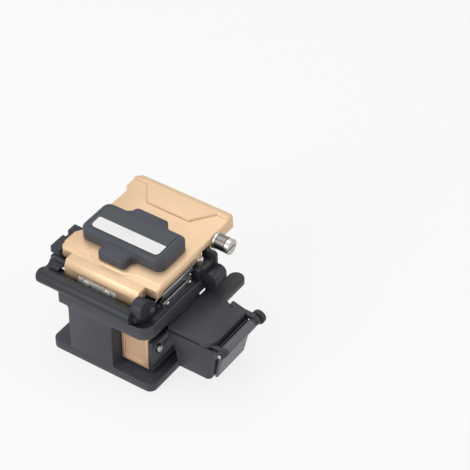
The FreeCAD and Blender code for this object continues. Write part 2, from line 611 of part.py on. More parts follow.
# ---------------------------------------------------------------- lid
def lid_outline():
    """Plan view of the lid: tongue, shoulders, corners and the long recess on the left."""
    right, left = "lid_right", "lid_left"
    recess = "lid_left + lid_recess_deep"
    return [("tongue_left", "tongue_front"), ("tongue_right", "tongue_front"),
            ("tongue_right", "lid_shoulder"),
            (right, "lid_shoulder"), (right, "lid_back - lid_back_right_corner"),
            (right + " - lid_back_right_corner", "lid_back"),
            (left + " + lid_back_corner", "lid_back"), (left, "lid_back - lid_back_corner"),
            (left, "lid_recess_back"), (recess, "lid_recess_back - lid_recess_back_ramp"),
            (recess, "front + lid_recess_front + lid_recess_front_ramp"),
            (left, "front + lid_recess_front"),
            (left, "lid_shoulder"), ("tongue_left", "lid_shoulder")]


def lower_field(line, forward, half, ramp):
    """Part of the lid's top in front of a step, whose middle comes forward as a trapezoid."""
    nose = f"{line} - {forward}"
    return [("lid_left - overshoot", "front"), ("lid_right + overshoot", "front"),
            ("lid_right + overshoot", line), (f"lid_middle + {half} + {ramp}", line),
            (f"lid_middle + {half}", nose), (f"lid_middle - {half}", nose),
            (f"lid_middle - {half} - {ramp}", line), ("lid_left - overshoot", line)]


def bevel_step(body, name, level):
    """Chamfer the front of a raised field: its outline up to the step's line, without the lid's sides."""
    line = number(f"{name}_line") + NEAR
    left, right = number("lid_left") + NEAR, number("lid_right") - NEAR
    spots = {edge: body.Shape.getElement(edge).CenterOfMass for edge in edges_of_face(body.Shape, "z",
                                                                                      level)}
    soften(body, "Chamfer", "step_bevel", [
        edge for edge, spot in spots.items() if spot.y < line and left < spot.x < right])


def make_lid_plate():
    """Machined lid: plate with stepped top, hinge tongue, side notch and clamp pocket."""
    body = new_body("lid_plate")
    grow(body, "XY_Plane", "lid_under", "lid_back_top", draw_polygon, lid_outline())
    round_at(body, "lid_front_corner", "z", {"x": "lid_left", "y": "lid_shoulder"})
    grow(body, "YZ_Plane", "tongue_left", "tongue_right", draw_polygon,
         rectangle("tongue_front", "lid_shoulder", "tongue_under", "lid_under + overshoot"))
    for top, step, name in (("lid_back_top", "lid_mid_top", "back_step"),
                            ("lid_mid_top", "lid_front_top", "mid_step")):
        carve(body, "XY_Plane", step, top, draw_polygon, lower_field(
            f"{name}_line", f"{name}_forward", f"{name}_half", f"{name}_ramp"))
        bevel_step(body, name, top)
    bevel_under = "lid_front_top - tongue_bevel_high"
    carve(body, "YZ_Plane", "tongue_left", "tongue_right", draw_polygon, [
        ("tongue_front - overshoot", "lid_front_top + overshoot"),
        ("tongue_front - overshoot", bevel_under),
        ("tongue_front", bevel_under), ("tongue_front + tongue_bevel_deep", "lid_front_top"),
        ("tongue_front + tongue_bevel_deep", "lid_front_top + overshoot")])
    round_at(body, "tongue_round", "x", {"y": "tongue_front", "z": "tongue_under"},
             {"y": "lid_shoulder", "z": "tongue_under"})
    bevel_under = "lid_front_top - lid_side_bevel"
    carve(body, "XZ_Plane", "tongue_front", "lid_back", draw_polygon, [
        ("lid_right", bevel_under), ("lid_right + overshoot", bevel_under),
        ("lid_right + overshoot", "lid_back_top"), ("lid_right - lid_side_bevel", "lid_back_top")])
    carve(body, "XZ_Plane", "tongue_front", "tongue_front + cover_plate_thick", draw_polygon, rectangle(
        "cover_plate_left - seat_gap", "cover_plate_left + cover_plate_wide + seat_gap",
        "tongue_under - overshoot", "cover_plate_under + cover_plate_high + seat_gap"))
    bore(body, "x", ("tongue_left", "hinge_y", "hinge_z"), "pin_radius + running_gap",
         "tongue_right - tongue_left")
    block_off(body, ("lid_right - lid_notch_deep", "front + lid_notch_front", "lid_under - overshoot"),
              ("lid_right + overshoot", "front + lid_notch_back", "notch_top"))
    block_off(body, ("left_jaw_left - seat_gap", "jaw_front - seat_gap", "lid_under"),
              ("lid_right + overshoot", "jaw_back + seat_gap", "clamp_pocket_top"))
    for spot in frame_screw_spots():
        bore(body, "z", (*spot, "clamp_pocket_top"), "small_screw + screw_gap",
             "guide_screw_bite + seat_gap")
    bore(body, "z", ("post_x", "post_y", "lid_under"), "magnet_radius + screw_gap", "magnet_thick")
    bore(body, "x", ("lid_right - peg_bite", "peg_y", "peg_z"), "peg_shank_radius + screw_gap", "peg_bite")
    keep("hinge_cover_plate", box("plate", ("cover_plate_left", "tongue_front", "cover_plate_under"), (
        "cover_plate_left + cover_plate_wide", "tongue_front + cover_plate_thick",
        "cover_plate_under + cover_plate_high")))


# ---------------------------------------------------------------- press pad
def lobe_outline(name, base, tip, inward, outward):
    """Plan view of a lobe that flares into the side of the pad's bar."""
    middle = "pad_left + pad_wide / 2"
    side = f"{name}_wide / 2"
    half = [(f"{side} + lobe_corner", f"{base} {inward} lobe_root"), (f"{side} + lobe_corner", base),
            (side, f"{base} {outward} lobe_flare"), (side, tip)]
    return ([(f"{middle} - ({across})", along) for across, along in half]
            + [(f"{middle} + {across}", along) for across, along in reversed(half)])


def make_press_pad():
    """Moulded thumb pad: wide bar with a low front lobe and a back lobe, and a label recess."""
    body = new_body("press_pad")
    right = "pad_left + pad_wide"
    middle = "pad_left + pad_wide / 2"
    block_on(body, ("pad_left", "pad_front", "lid_mid_top"), (right, "pad_back", "pad_top"))
    round_at(body, "pad_corner", "z", {"x": "pad_left", "y": "pad_front"}, {"x": right, "y": "pad_front"},
             {"x": "pad_left", "y": "pad_back"}, {"x": right, "y": "pad_back"})
    soften(body, "Chamfer", "pad_edge", edges_of_face(body.Shape, "z", "pad_top"))
    lobes = (("front_lobe", "pad_front", "pad_front - front_lobe_deep", "+", "-"),
             ("back_lobe", "pad_back", "pad_back + back_lobe_deep", "-", "+"))
    for name, *ends in lobes:
        grow(body, "XY_Plane", "lid_mid_top", f"lid_mid_top + {name}_high", draw_polygon,
             lobe_outline(name, *ends))
    round_at(body, "lobe_corner", "z", *({"x": f"{middle} {sign} {name}_wide / 2", "y": tip}
                                         for sign in "-+" for name, _, tip, *_ in lobes))
    soften(body, "Chamfer", "lobe_edge", [
        name for name in edges_of_face(body.Shape, "z", "lid_mid_top + front_lobe_high")
        if body.Shape.getElement(name).CenterOfMass.y < number("pad_front - lobe_root")])
    low = ("pad_left + label_margin", "pad_front + label_margin")
    high = (right + " - label_margin", "pad_back - label_margin")
    carve(body, "XY_Plane", "pad_top - label_recess", "pad_top", draw_polygon,
          rectangle(low[0], high[0], low[1], high[1]))
    round_at(body, "label_corner", "z", *({"x": x, "y": y} for x in (low[0], high[0]) for y in (low[1],
                                                                                                high[1])))

    label = new_body("pad_label")
    inset = "label_margin + seat_gap / 2"
    block_on(label, (f"pad_left + {inset}", f"pad_front + {inset}", "pad_top - label_recess"),
             (f"{right} - ({inset})", f"pad_back - ({inset})", "pad_top - label_recess + label_thick"))
    soften(label, "Fillet", "label_corner", edges_along(label.Shape, "z"))


# ---------------------------------------------------------------- clamps and anvil
def frame_screw_spots():
    """Plan places of the two shoulder screws on which the upper clamp frame floats."""
    middle = "(left_jaw_right + right_jaw_left) / 2 - guide_screw_offset"
    return [(middle, "jaw_front + crossbar_long / 2"), (middle, "jaw_back - crossbar_long / 2")]


def jaw_rubber(left, right, under, over):
    """Rubber strip centred between a jaw's sides, over the middle of the fibre line."""
    middle = f"(({left}) + ({right})) / 2"
    return box("rubber", (f"{middle} - rubber_wide / 2", "fibre_y - jaw_long / 4", under),
               (f"{middle} + rubber_wide / 2", "fibre_y + jaw_long / 4", over))


def make_clamps():
    """Lower jaws on the deck, and the floating frame of the upper jaws under the lid."""
    jaws = {"left": ("left_jaw_left", "left_jaw_right"), "right": ("right_jaw_left", "right_jaw_right")}
    jaw_top = "lower_rubber_top - rubber_thick"
    for side, (left, right) in jaws.items():
        keep(f"lower_jaw_{side}", box("jaw", (left, "jaw_front", "deck_top"), (right, "jaw_back", jaw_top)))
    together("lower_rubbers", [jaw_rubber(left, right, jaw_top, "lower_rubber_top")
                               for left, right in jaws.values()])

    frame = new_body("upper_clamp_frame")
    crossbar_under = "frame_top - crossbar_high"
    block_on(frame, ("left_jaw_left", "jaw_front", crossbar_under),
             ("right_jaw_right", "jaw_back", "frame_top"))
    for left, right in jaws.values():
        block_on(frame, (left, "jaw_front + crossbar_long", "upper_jaw_under"),
                 (right, "jaw_back - crossbar_long", "frame_top"))
    block_off(frame, ("left_jaw_right", "jaw_front + crossbar_long", "upper_jaw_under"),
              ("right_jaw_left", "jaw_back - crossbar_long", "frame_top"))
    for spot in frame_screw_spots():
        bore(frame, "z", (*spot, crossbar_under), "small_screw + running_gap", "crossbar_high")
    together("upper_rubbers", [jaw_rubber(left, right, "upper_rubber_under", "upper_jaw_under")
                               for left, right in jaws.values()])
    together("clamp_guide_screws", [
        screw(f"guide_screw_{index}", "z", -1, (*spot, f"{crossbar_under} - seat_gap / 4"), "small_screw",
              "guide_head", "guide_head_high", f"clamp_pocket_top - ({crossbar_under}) + guide_screw_bite",
              socket=False)
        for index, spot in enumerate(frame_screw_spots())])
    middle = "(blade_left + blade_right) / 2"
    keep("anvil", box("anvil_block", (f"{middle} - anvil_wide / 2", "fibre_y - anvil_long / 2",
                                      "fibre_z + anvil_clear"),
                      (f"{middle} + anvil_wide / 2", "fibre_y + anvil_long / 2", "clamp_pocket_top")))


# ---------------------------------------------------------------- blade carriage
def rail_section(gap, bottom, top):
    """Dovetail section of the rail, grown by a gap on each side."""
    foot, head = f"rail_foot_wide / 2 + {gap}", f"rail_wide / 2 + {gap}"
    half = [(foot, bottom), (foot, "plate_thick + rail_foot_high"),
            (head, "plate_thick + rail_foot_high + rail_flank_high"), (head, top)]
    return ([(f"rail_middle + {across}", up) for across, up in half]
            + [(f"rail_middle - ({across})", up) for across, up in reversed(half)])


def make_guide():
    """Low dovetail rail on the plate, and the slider block that hooks round it."""
    rail = new_body("guide_rail")
    grow(rail, "XZ_Plane", "rail_front", "rail_front + rail_long", draw_polygon,
         rail_section("0", "plate_thick", "rail_top"))
    slider = new_body("slider_block")
    front = "carriage_front + (carriage_long - slider_long) / 2"
    block_on(slider, ("rail_middle - slider_wide / 2", front, "slider_under"),
             ("rail_middle + slider_wide / 2", f"{front} + slider_long", "carriage_under"))
    carve(slider, "XZ_Plane", front, f"{front} + slider_long", draw_polygon,
          rail_section("running_gap", "slider_under - overshoot", "rail_top + running_gap"))


def side_screw_spots():
    """Two screws join the side plate to the carriage."""
    return [("side_right", f"push_y + side_screw_front + {step} * side_screw_span",
             "side_plate_under + side_screw_lift") for step in (0, 1)]


def make_carriage():
    """Blade carriage: body with the blade arm, push block, side plate, blade wheel and hub screw."""
    body = new_body("carriage_body")
    block_on(body, ("carriage_left", "carriage_front", "carriage_under"),
             ("carriage_right", "carriage_back", "carriage_top"))
    half = [("arm_half + arm_flare", "carriage_top - arm_root"), ("arm_half", "blade_z"),
            ("arm_half", "blade_z + arm_half")]
    grow(body, "YZ_Plane", "arm_left", "arm_right", draw_polygon, (
        [(f"blade_y + {across}", up) for across, up in half]
        + [(f"blade_y - ({across})", up) for across, up in reversed(half)]))
    round_at(body, "arm_round", "x", {"y": "blade_y - arm_half", "z": "blade_z + arm_half"},
             {"y": "blade_y + arm_half", "z": "blade_z + arm_half"})
    bore(body, "x", ("arm_left", "blade_y", "blade_z"), "hub_screw_radius + screw_gap", "arm_thick")
    for _, y, z in side_screw_spots():
        bore(body, "x", ("carriage_right - side_screw_bite", y, z), "medium_screw + screw_gap",
             "side_screw_bite")

    push = new_body("push_block")
    block_on(push, ("push_left", "push_y", "push_under"), ("carriage_right", "carriage_front", "push_top"))
    sides = ("push_left + push_dish_margin", "carriage_right - push_dish_margin")
    ends = ("push_under + push_dish_margin", "push_top - push_dish_margin")
    carve(push, "XZ_Plane", "push_y", "push_y + push_dish_deep", draw_polygon, rectangle(*sides, *ends))
    round_at(push, "push_dish_corner", "y", *({"x": x, "z": z} for x in sides for z in ends))

    plate = new_body("side_plate")
    plate_back = "push_y + side_plate_long"
    block_on(plate, ("carriage_right", "push_y", "side_plate_under"),
             ("side_right", plate_back, "carriage_top"))
    groove = "side_plate_under + side_groove_lift"
    block_off(plate, ("side_right - side_groove_deep", "push_y", groove),
              ("side_right", plate_back, f"{groove} + side_groove_high"))
    for _, y, z in side_screw_spots():
        bore(plate, "x", ("carriage_right", y, z), "medium_screw + screw_gap", "side_plate_thick")
        bore(plate, "x", ("side_right - side_head_sunk", y, z), "side_screw_head + seat_gap / 2",
             "side_head_sunk")

    wheel = new_body("blade_wheel")
    grow(wheel, "YZ_Plane", "blade_left", "blade_right", draw_circle, ("blade_y", "blade_z"),
         "blade_radius")
    rims = [f"Edge{i}" for i, edge in enumerate(wheel.Shape.Edges,
                                                1) if edge.Curve.TypeId == "Part::GeomCircle"]
    soften(wheel, "Chamfer", "blade_edge", rims)
    bore(wheel, "x", ("blade_left", "blade_y", "blade_z"), "blade_hub + running_gap", "blade_thick")
    centre = ("blade_y", "blade_z")
    head_start = "blade_right + running_gap"
    hub = joined("hub", rod("hub_shank", "x", ("arm_left + arm_inset", *centre), "hub_screw_radius",
                            "blade_left - arm_left"),
                 rod("hub_boss", "x", ("arm_right", *centre), "blade_hub", f"{head_start} - arm_right"),
                 rod("hub_head", "x", (head_start, *centre), "hub_head_radius", "hub_head_thick"))
    slot = box("hub_slot", ("blade_right + hub_head_thick / 2", "blade_y - hub_head_radius",
                            "blade_z - hub_slot_wide / 2"),
               ("blade_right + overshoot", "blade_y + hub_head_radius", "blade_z + hub_slot_wide / 2"))
    keep("blade_hub_screw", less("slotted_hub", hub, slot))


# ---------------------------------------------------------------- fibre holder and catch
def make_holder():
    """Fibre holder with a vee groove on the fibre line, and its clamp lever beside the lid."""
    body = new_body("fibre_holder")
    front, back = "front + holder_front", "front + holder_back"
    lug_left = "lever_right + moving_gap"
    lug_right = f"{lug_left} + lever_lug_wide"
    block_on(body, ("holder_left", front, "deck_top"), ("holder_right", back, "holder_top"))
    block_on(body, ("holder_left", "front + holder_ear_front", "deck_top"),
             (lug_right, f"{front} + overshoot", "holder_top - holder_arm_drop"))
    for low, high in ((front, f"{front} + holder_rib_wide"), (f"{back} - holder_rib_wide", back)):
        block_on(body, ("lever_right + holder_rib_inset", low, "deck_top + overshoot"),
                 ("holder_right", high, "holder_top + holder_rib_high"))
    block_on(body, (lug_left, "lever_pin_y - lug_half", "deck_top + overshoot"),
             (lug_right, "lever_pin_y + lug_half", "lever_pin_z + lug_rise"))
    carve(body, "YZ_Plane", "holder_left", "holder_right", draw_polygon,
          [("fibre_y - groove_half", "holder_top"), ("fibre_y", "holder_top - groove_half"),
           ("fibre_y + groove_half", "holder_top")])
    bore(body, "x", (lug_left, "lever_pin_y", "lever_pin_z"), "lever_pin_radius + screw_gap / 2",
         "lever_lug_wide")
    magnet = ("lever_left + lever_wide / 2", "front + lever_back - magnet_setback",
              "holder_top - magnet_thick")
    bore(body, "z", magnet, "magnet_radius + screw_gap", "magnet_thick")
    keep("holder_magnet", rod("magnet", "z", magnet, "magnet_radius", "magnet_thick"))
    keep("lever_pin", rod("lever_rod", "x", ("lever_left + lever_pin_inset", "lever_pin_y", "lever_pin_z"),
                          "lever_pin_radius", "lever_wide - lever_pin_inset + moving_gap + lever_lug_wide"))

    lever = new_body("holder_lever")
    under, over = "deck_top + lever_under_lift", "deck_top + lever_top_lift"
    nose, neck = "front + lever_front", "front + lever_neck_front"
    grip, tail = "front + lever_neck_back", "front + lever_back"
    block_on(lever, ("lever_left", nose, under), ("lever_right", neck, over))
    block_on(lever, ("lever_left + lever_neck_inset", f"{neck} - overshoot", f"{under} + lever_neck_drop"),
             ("lever_right", f"{grip} + overshoot", f"{over} - lever_neck_drop"))
    block_on(lever, ("lever_left", grip, f"{under} - lever_grip_drop"), ("lever_right", tail, over))
    round_at(lever, "lever_round", "x", {"y": nose, "z": over}, {"y": neck, "z": over},
             {"y": grip, "z": over},
             {"y": tail, "z": over}, {"y": nose, "z": under})
    bore(lever, "x", ("lever_left + lever_pin_inset - seat_gap", "lever_pin_y", "lever_pin_z"),
         "lever_pin_radius + running_gap", "lever_wide")


def make_catch():
    """Post with a magnet that holds the closed lid, and the lid's own magnet."""
    body = new_body("catch_post")
    half = "post_side / 2"
    block_on(body, (f"post_x - {half}", f"post_y - {half}", "deck_top"),
             (f"post_x + {half}", f"post_y + {half}", "post_top"))
    soften(body, "Chamfer", "post_side / 6", edges_along(body.Shape, "z"))
    bore(body, "z", ("post_x", "post_y", "post_top - magnet_thick"), "magnet_radius + screw_gap",
         "magnet_thick")
    keep("catch_magnet", rod("magnet", "z", ("post_x", "post_y", "post_top - magnet_thick"),
                             "magnet_radius",
                             "magnet_thick"))
    keep("lid_magnet", rod("magnet", "z", ("post_x", "post_y", "lid_under"), "magnet_radius",
                           "magnet_thick"))


# ---------------------------------------------------------------- bracket and peg
def bracket_screw_spot():
    """Seat of the bracket's cap screw."""
    return ("(bracket_left + bracket_right) / 2", "bracket_front + bracket_screw_inset",
            "deck_top + bracket_foot_high")


def make_bracket():
    """Lid guide: a foot screwed to the deck, an upright plate in the lid's notch and a round boss."""
    body = new_body("lid_guide_bracket")
    boss_y = "front + boss_front"
    plate_back = "bracket_back + bracket_plate_thick"
    grow(body, "XY_Plane", "deck_top", "deck_top + bracket_foot_high", draw_polygon, [
        ("bracket_left", "bracket_front"), ("bracket_right", "bracket_front"), ("bracket_right", boss_y),
        ("boss_left + overshoot", boss_y), ("boss_left + overshoot", plate_back),
        ("bracket_left", plate_back)])
    plate_right = "bracket_plate_left + bracket_plate_wide"
    plate_top = "deck_top + bracket_plate_high"
    block_on(body, ("bracket_plate_left", "bracket_back", "deck_top"), (plate_right, plate_back, plate_top))
    round_at(body, "bracket_corner", "y", {"x": plate_right, "z": plate_top})
    block_on(body, ("boss_left", boss_y, "deck_top - boss_drop"),
             ("boss_x + boss_radius", plate_back, "boss_z"))
    grow(body, "XZ_Plane", boss_y, plate_back, draw_circle, ("boss_x", "boss_z"), "boss_radius")
    spot = bracket_screw_spot()
    bore(body, "z", (spot[0], spot[1], "deck_top"), "small_screw + screw_gap", "bracket_foot_high")


def make_peg():
    """Lifting peg at the lid's free right corner: washer, collar and slotted screw."""
    centre = ("peg_y", "peg_z")
    collar_start = "lid_right + peg_washer_thick"
    for label, start, radius, long in (("peg_washer", "lid_right", "peg_washer_radius", "peg_washer_thick"),
                                       ("peg_collar", collar_start, "peg_collar_radius",
                                        "peg_collar_long")):
        hole = rod(label + "_hole", "x", (start, *centre), "peg_shank_radius + screw_gap", long)
        keep(label, less(label + "_ring", rod(label + "_disc", "x", (start, *centre), radius, long), hole))
    neck = f"{collar_start} + peg_collar_long"
    head = f"{neck} + peg_neck_long"
    face = f"{head} + peg_head_long"
    whole = joined("peg", rod("peg_shank", "x", ("lid_right - peg_bite + seat_gap", *centre),
                              "peg_shank_radius",
                              f"{neck} - lid_right + peg_bite - seat_gap"),
                   rod("peg_neck", "x", (neck, *centre), "peg_neck_radius", "peg_neck_long"),
                   rod("peg_head", "x", (head, *centre), "peg_head_radius", "peg_head_long"))
    slot = box("peg_slot", (f"{face} - peg_slot_deep", "peg_y - peg_head_radius",
                            "peg_z - peg_slot_wide / 2"),
               (face, "peg_y + peg_head_radius", "peg_z + peg_slot_wide / 2"))
    keep("peg_screw", less("slotted_peg", whole, slot))


# ---------------------------------------------------------------- waste bin
def make_bin_shell():
    """Waste bin: flared tub with a slanted door opening, a flange under the deck and two hinge lugs."""
    body = new_body("bin_shell")
    knee_z = "bin_under + bin_knee_lift"
    grow(body, "XZ_Plane", "bin_y", "bin_back", draw_polygon, [
        ("bin_left_foot", "bin_under"), ("bin_right_foot", "bin_under"), ("bin_right_top", "bin_top"),
        ("bin_left_top", "bin_top"), ("bin_left_knee", knee_z)])
    soften(body, "Fillet", "bin_knee_round", edges_along(body.Shape, "y", x="bin_left_knee", z=knee_z))
    leaning = [f"Edge{i}" for i, edge in enumerate(body.Shape.Edges, 1)
               if edge.Curve.TypeId == "Part::GeomLine" and abs(edge.Curve.Direction.z) > UPRIGHT
               and edge.CenterOfMass.x > number("bin_right_foot")
               and edge.CenterOfMass.y < number("bin_y + overshoot")]
    soften(body, "Fillet", "bin_corner", leaning)
    soften(body, "Chamfer", "bin_foot_edge", edges_of_face(body.Shape, "z", "bin_under"))
    floor = "bin_under + bin_wall"
    lean = "(bin_right_top - bin_right_foot) / (bin_top - bin_under)"
    carve(body, "XZ_Plane", "bin_y + bin_wall", "bin_back - bin_wall", draw_polygon, [
        ("bin_left_foot + bin_wall", floor), (f"bin_right_foot - bin_wall + {lean} * bin_wall", floor),
        ("bin_right_top - bin_wall", "bin_top"), ("bin_left_top + bin_wall", "bin_top"),
        ("bin_left_knee + bin_wall", knee_z)])
    carve(body, "YZ_Plane", "bin_right_foot - bin_wall * 1.5", "bin_right_top", draw_polygon, rectangle(
        "door_front + door_margin / 2", "door_back - door_margin / 2", "bin_under + door_margin",
        "bin_top - door_margin"))
    block_on(body, ("flange_left", "bin_y + door_margin", "bin_top - flange_thick"),
             ("deck_right + seat_gap / 2", "bin_back - door_margin / 2", "deck_under"))
    web = "bin_right_top - bin_wall"
    for start in ("front_lug_y", "back_lug_y"):
        grow(body, "XZ_Plane", start, f"{start} + lug_long", draw_polygon, [
            (web, "bin_top - lug_high"), ("bin_right_top", "bin_top - lug_high"),
            ("barrel_x", "barrel_z - barrel_web"), ("barrel_x", "bin_top"), (web, "bin_top")])
        grow(body, "XZ_Plane", start, f"{start} + lug_long", draw_circle, ("barrel_x", "barrel_z"),
             "lug_radius")
    bore(body, "y", ("barrel_x", "front_lug_y", "barrel_z"), "bin_pin_radius + screw_gap / 2",
         "back_lug_y + lug_long - (front_lug_y)")


def make_bin_cover():
    """Top cover of the bin, hinged on the pin, with a raised finger tab, a brace and two knuckles."""
    body = new_body("bin_cover")
    block_on(body, ("cover_left", "bin_y", "cover_under"), ("cover_right", "bin_back", "cover_top"))
    round_at(body, "cover_corner", "z", {"x": "cover_right", "y": "bin_y"})
    soften(body, "Chamfer", "cover_edge", [
        name for name in edges_of_face(body.Shape, "z", "cover_top")
        if body.Shape.getElement(name).CenterOfMass.y < number("bin_back - cover_edge")])
    tab_under = "cover_top + tab_rise"
    tab_top = f"{tab_under} + tab_thick"
    tab_knee = "tab_end_y - tab_flat"
    grow(body, "YZ_Plane", "tab_left", "tab_left + tab_wide", draw_polygon, [
        ("bin_back - tab_root", "cover_under"), ("bin_back", "cover_under"), (tab_knee, tab_under),
        ("tab_end_y", tab_under), ("tab_end_y", tab_top), (tab_knee, tab_top),
        ("bin_back - tab_root", "cover_top + tab_seat")])
    grow(body, "XY_Plane", tab_under, tab_top, draw_circle, ("tab_x", "tab_end_y"), "tab_end_radius")
    grow(body, "XZ_Plane", "back_knuckle_y", "pin_back", draw_polygon, [
        ("brace_left", "cover_under"), ("barrel_x", "cover_under"),
        ("barrel_x", "barrel_z + brace_barrel_rise"),
        ("barrel_x - brace_saddle", "cover_top + brace_low"),
        ("(brace_left + barrel_x) / 2", "cover_top + brace_low"),
        ("brace_left", "cover_top + brace_high")])
    grow(body, "XZ_Plane", "knuckle_front", "knuckle_front + knuckle_long", draw_polygon,
         rectangle("cover_right - cover_corner", "barrel_x", "cover_under", "cover_top - seat_gap"))
    for start, long in (("knuckle_front", "knuckle_long"), ("back_knuckle_y", "back_knuckle_long")):
        grow(body, "XZ_Plane", start, f"{start} + {long}", draw_circle, ("barrel_x", "barrel_z"),
             "barrel_radius")
    bore(body, "y", ("barrel_x", "knuckle_front", "barrel_z"), "bin_pin_radius + running_gap",
         "pin_back - (knuckle_front)")


def make_bin_door():
    """Side door of the bin: slanted panel hanging from a barrel on the same pin."""
    body = new_body("bin_door")
    foot, top = "bin_right_foot + moving_gap", "bin_right_top + moving_gap"
    sill = "bin_under + door_sill"
    grow(body, "XZ_Plane", "door_front", "door_back", draw_polygon, [
        (foot, sill), (f"{foot} + door_thick", sill), ("barrel_x - door_tuck", "barrel_z - barrel_web"),
        ("barrel_x - door_tuck", "barrel_z"), ("barrel_x - barrel_web", "barrel_z"),
        (top, "bin_top - door_shoulder")])
    grow(body, "XZ_Plane", "door_front", "door_back", draw_circle, ("barrel_x", "barrel_z"),
         "barrel_radius")
    bore(body, "y", ("barrel_x", "door_front", "barrel_z"), "bin_pin_radius + running_gap",
         "door_back - (door_front)")
    pin_start = "front_lug_y - bin_pin_proud"
    pin_end = "pin_back + seat_gap"
    keep("bin_pin", joined("headed_pin", rod("pin_rod", "y", ("barrel_x", pin_start, "barrel_z"),
                                             "bin_pin_radius",
                                             f"{pin_end} - ({pin_start})"),
                           rod("pin_head", "y", ("barrel_x", pin_end, "barrel_z"), "pin_head_radius",
                               "pin_head_long")))


# ---------------------------------------------------------------- build, check, write
for make in (make_base_casting, make_hinge_yoke, make_lid_plate, make_press_pad, make_clamps, make_guide,
             make_carriage, make_holder, make_catch, make_bracket, make_peg, make_bin_shell, make_bin_cover,
             make_bin_door):
    make()
doc.recompute()

for thing in doc.Objects:
    if {"Invalid", "Error"} & set(thing.State):
        raise RuntimeError(f"{thing.Label} failed: {thing.State}")
os.makedirs("parts", exist_ok=True)
for label, thing in nodes.items():
    if thing.Shape.isNull() or not thing.Shape.isValid():
        raise RuntimeError(f"{label} has no valid shape")
    thing.Shape.exportStep(f"parts/{label}.step")
print(len(nodes), "sub-parts written")
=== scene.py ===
# %% [markdown]
# # A fibre cleaver, dressed for its portrait
# A fibre cleaver scores a glass fibre with a small round blade and snaps it square. The solids come from
# the CAD frame, where every piece already has its place. This script gives them what a solid modeller
# leaves out: broken edges that catch the light, screw heads, and finishes that read as paint, anodising,
# moulded plastic and plated steel. Blender works in metres, while sizes on such a part are easier to read
# in millimetres, so the pieces below are sized in millimetres and `MM` turns them into metres. The camera,
# the stage and the depth of the finest bumps stay in metres.

# %% Load the frame
import json
import math
from collections import namedtuple

import bmesh
import bpy
from mathutils import Matrix, Vector

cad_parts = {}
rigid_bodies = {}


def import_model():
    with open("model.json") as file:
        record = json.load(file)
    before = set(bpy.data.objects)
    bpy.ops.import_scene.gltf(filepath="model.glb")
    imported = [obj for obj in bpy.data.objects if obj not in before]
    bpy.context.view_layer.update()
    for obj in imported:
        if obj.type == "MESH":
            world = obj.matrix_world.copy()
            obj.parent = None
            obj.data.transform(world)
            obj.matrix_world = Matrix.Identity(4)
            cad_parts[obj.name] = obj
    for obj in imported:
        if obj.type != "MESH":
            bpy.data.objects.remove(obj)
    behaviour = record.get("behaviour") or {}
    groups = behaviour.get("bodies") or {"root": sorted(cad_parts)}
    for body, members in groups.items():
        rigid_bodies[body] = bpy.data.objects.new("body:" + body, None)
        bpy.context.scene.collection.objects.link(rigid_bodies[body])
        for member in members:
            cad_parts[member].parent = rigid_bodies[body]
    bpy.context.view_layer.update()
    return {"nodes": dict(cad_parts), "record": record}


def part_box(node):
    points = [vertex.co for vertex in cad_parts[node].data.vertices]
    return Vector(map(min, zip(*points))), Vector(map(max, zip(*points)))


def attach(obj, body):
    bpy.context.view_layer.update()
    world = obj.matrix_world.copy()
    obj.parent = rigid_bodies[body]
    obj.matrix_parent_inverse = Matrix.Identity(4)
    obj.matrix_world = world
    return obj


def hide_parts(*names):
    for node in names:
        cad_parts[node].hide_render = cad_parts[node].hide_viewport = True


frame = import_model()
MM = 0.001

# %% [markdown]
# ## The camera
# The lens is long, so the object looks almost parallel, as it does on a product table. A camera in Blender
# looks along its own -Z, so tilting it by 90 degrees minus the elevation and turning it by the azimuth
# aims it. It comes first, because everything after it is judged through it. The Standard view transform
# shows a colour about as it is written, where the default one would wash it out.

# %% Camera
AZIMUTH, ELEVATION = 34.15, 41.15
CAMERA_PLACE = (0.4405, -0.5710, 0.6912)
LENS, SENSOR = 160.85, 36.0

camera_data = bpy.data.cameras.new("camera")
camera_data.lens = LENS
camera_data.sensor_width = SENSOR
camera = bpy.data.objects.new("camera", camera_data)
camera.location = CAMERA_PLACE
camera.rotation_euler = (math.radians(90 - ELEVATION), 0, math.radians(AZIMUTH))
bpy.context.scene.collection.objects.link(camera)
bpy.context.scene.camera = camera
bpy.context.scene.view_settings.view_transform = "Standard"
print("camera", tuple(round(v, 3) for v in camera.location), camera_data.lens, "mm")

# %% [markdown]
# ## Shader arithmetic that reads like arithmetic
# A material is a graph, and wiring Math nodes one by one hides what is being worked out. `Wire` stands for
# one socket and overloads the operators, so `noise * 0.2 + 0.4` adds its own nodes. The reflected forms let
# a plain number stand first, as in `1 - noise`.


# %% Wires
class Wire:
    """One output socket that does Python arithmetic by adding Math nodes."""

    def __init__(self, graph, socket):
        self.graph, self.socket = graph, socket

    def combine(self, operation, first, second):
        return self.graph.node("ShaderNodeMath", {"operation": operation}, {0: first, 1: second})

    def __add__(self, other):
        return self.combine("ADD", self, other)

    def __sub__(self, other):
        return self.combine("SUBTRACT", self, other)

    def __rsub__(self, other):
        return self.combine("SUBTRACT", other, self)

    def __mul__(self, other):
        return self.combine("MULTIPLY", self, other)

    __radd__, __rmul__ = __add__, __mul__

    def limited(self, low, high):
        return self.combine("MINIMUM", self.combine("MAXIMUM", self, low), high)


print("operators:", [name for name in ("__add__", "__sub__", "__mul__") if hasattr(Wire, name)])

# %% [markdown]
# ## One way to add a node
# `Graph` holds a node tree of any sort, whether it shades or makes geometry, and adds any node with one
# method. The node's settings are made first, because some of them change which sockets it has, and then
# its sockets are filled with values or linked to wires. A list of wires goes into a socket that takes many.


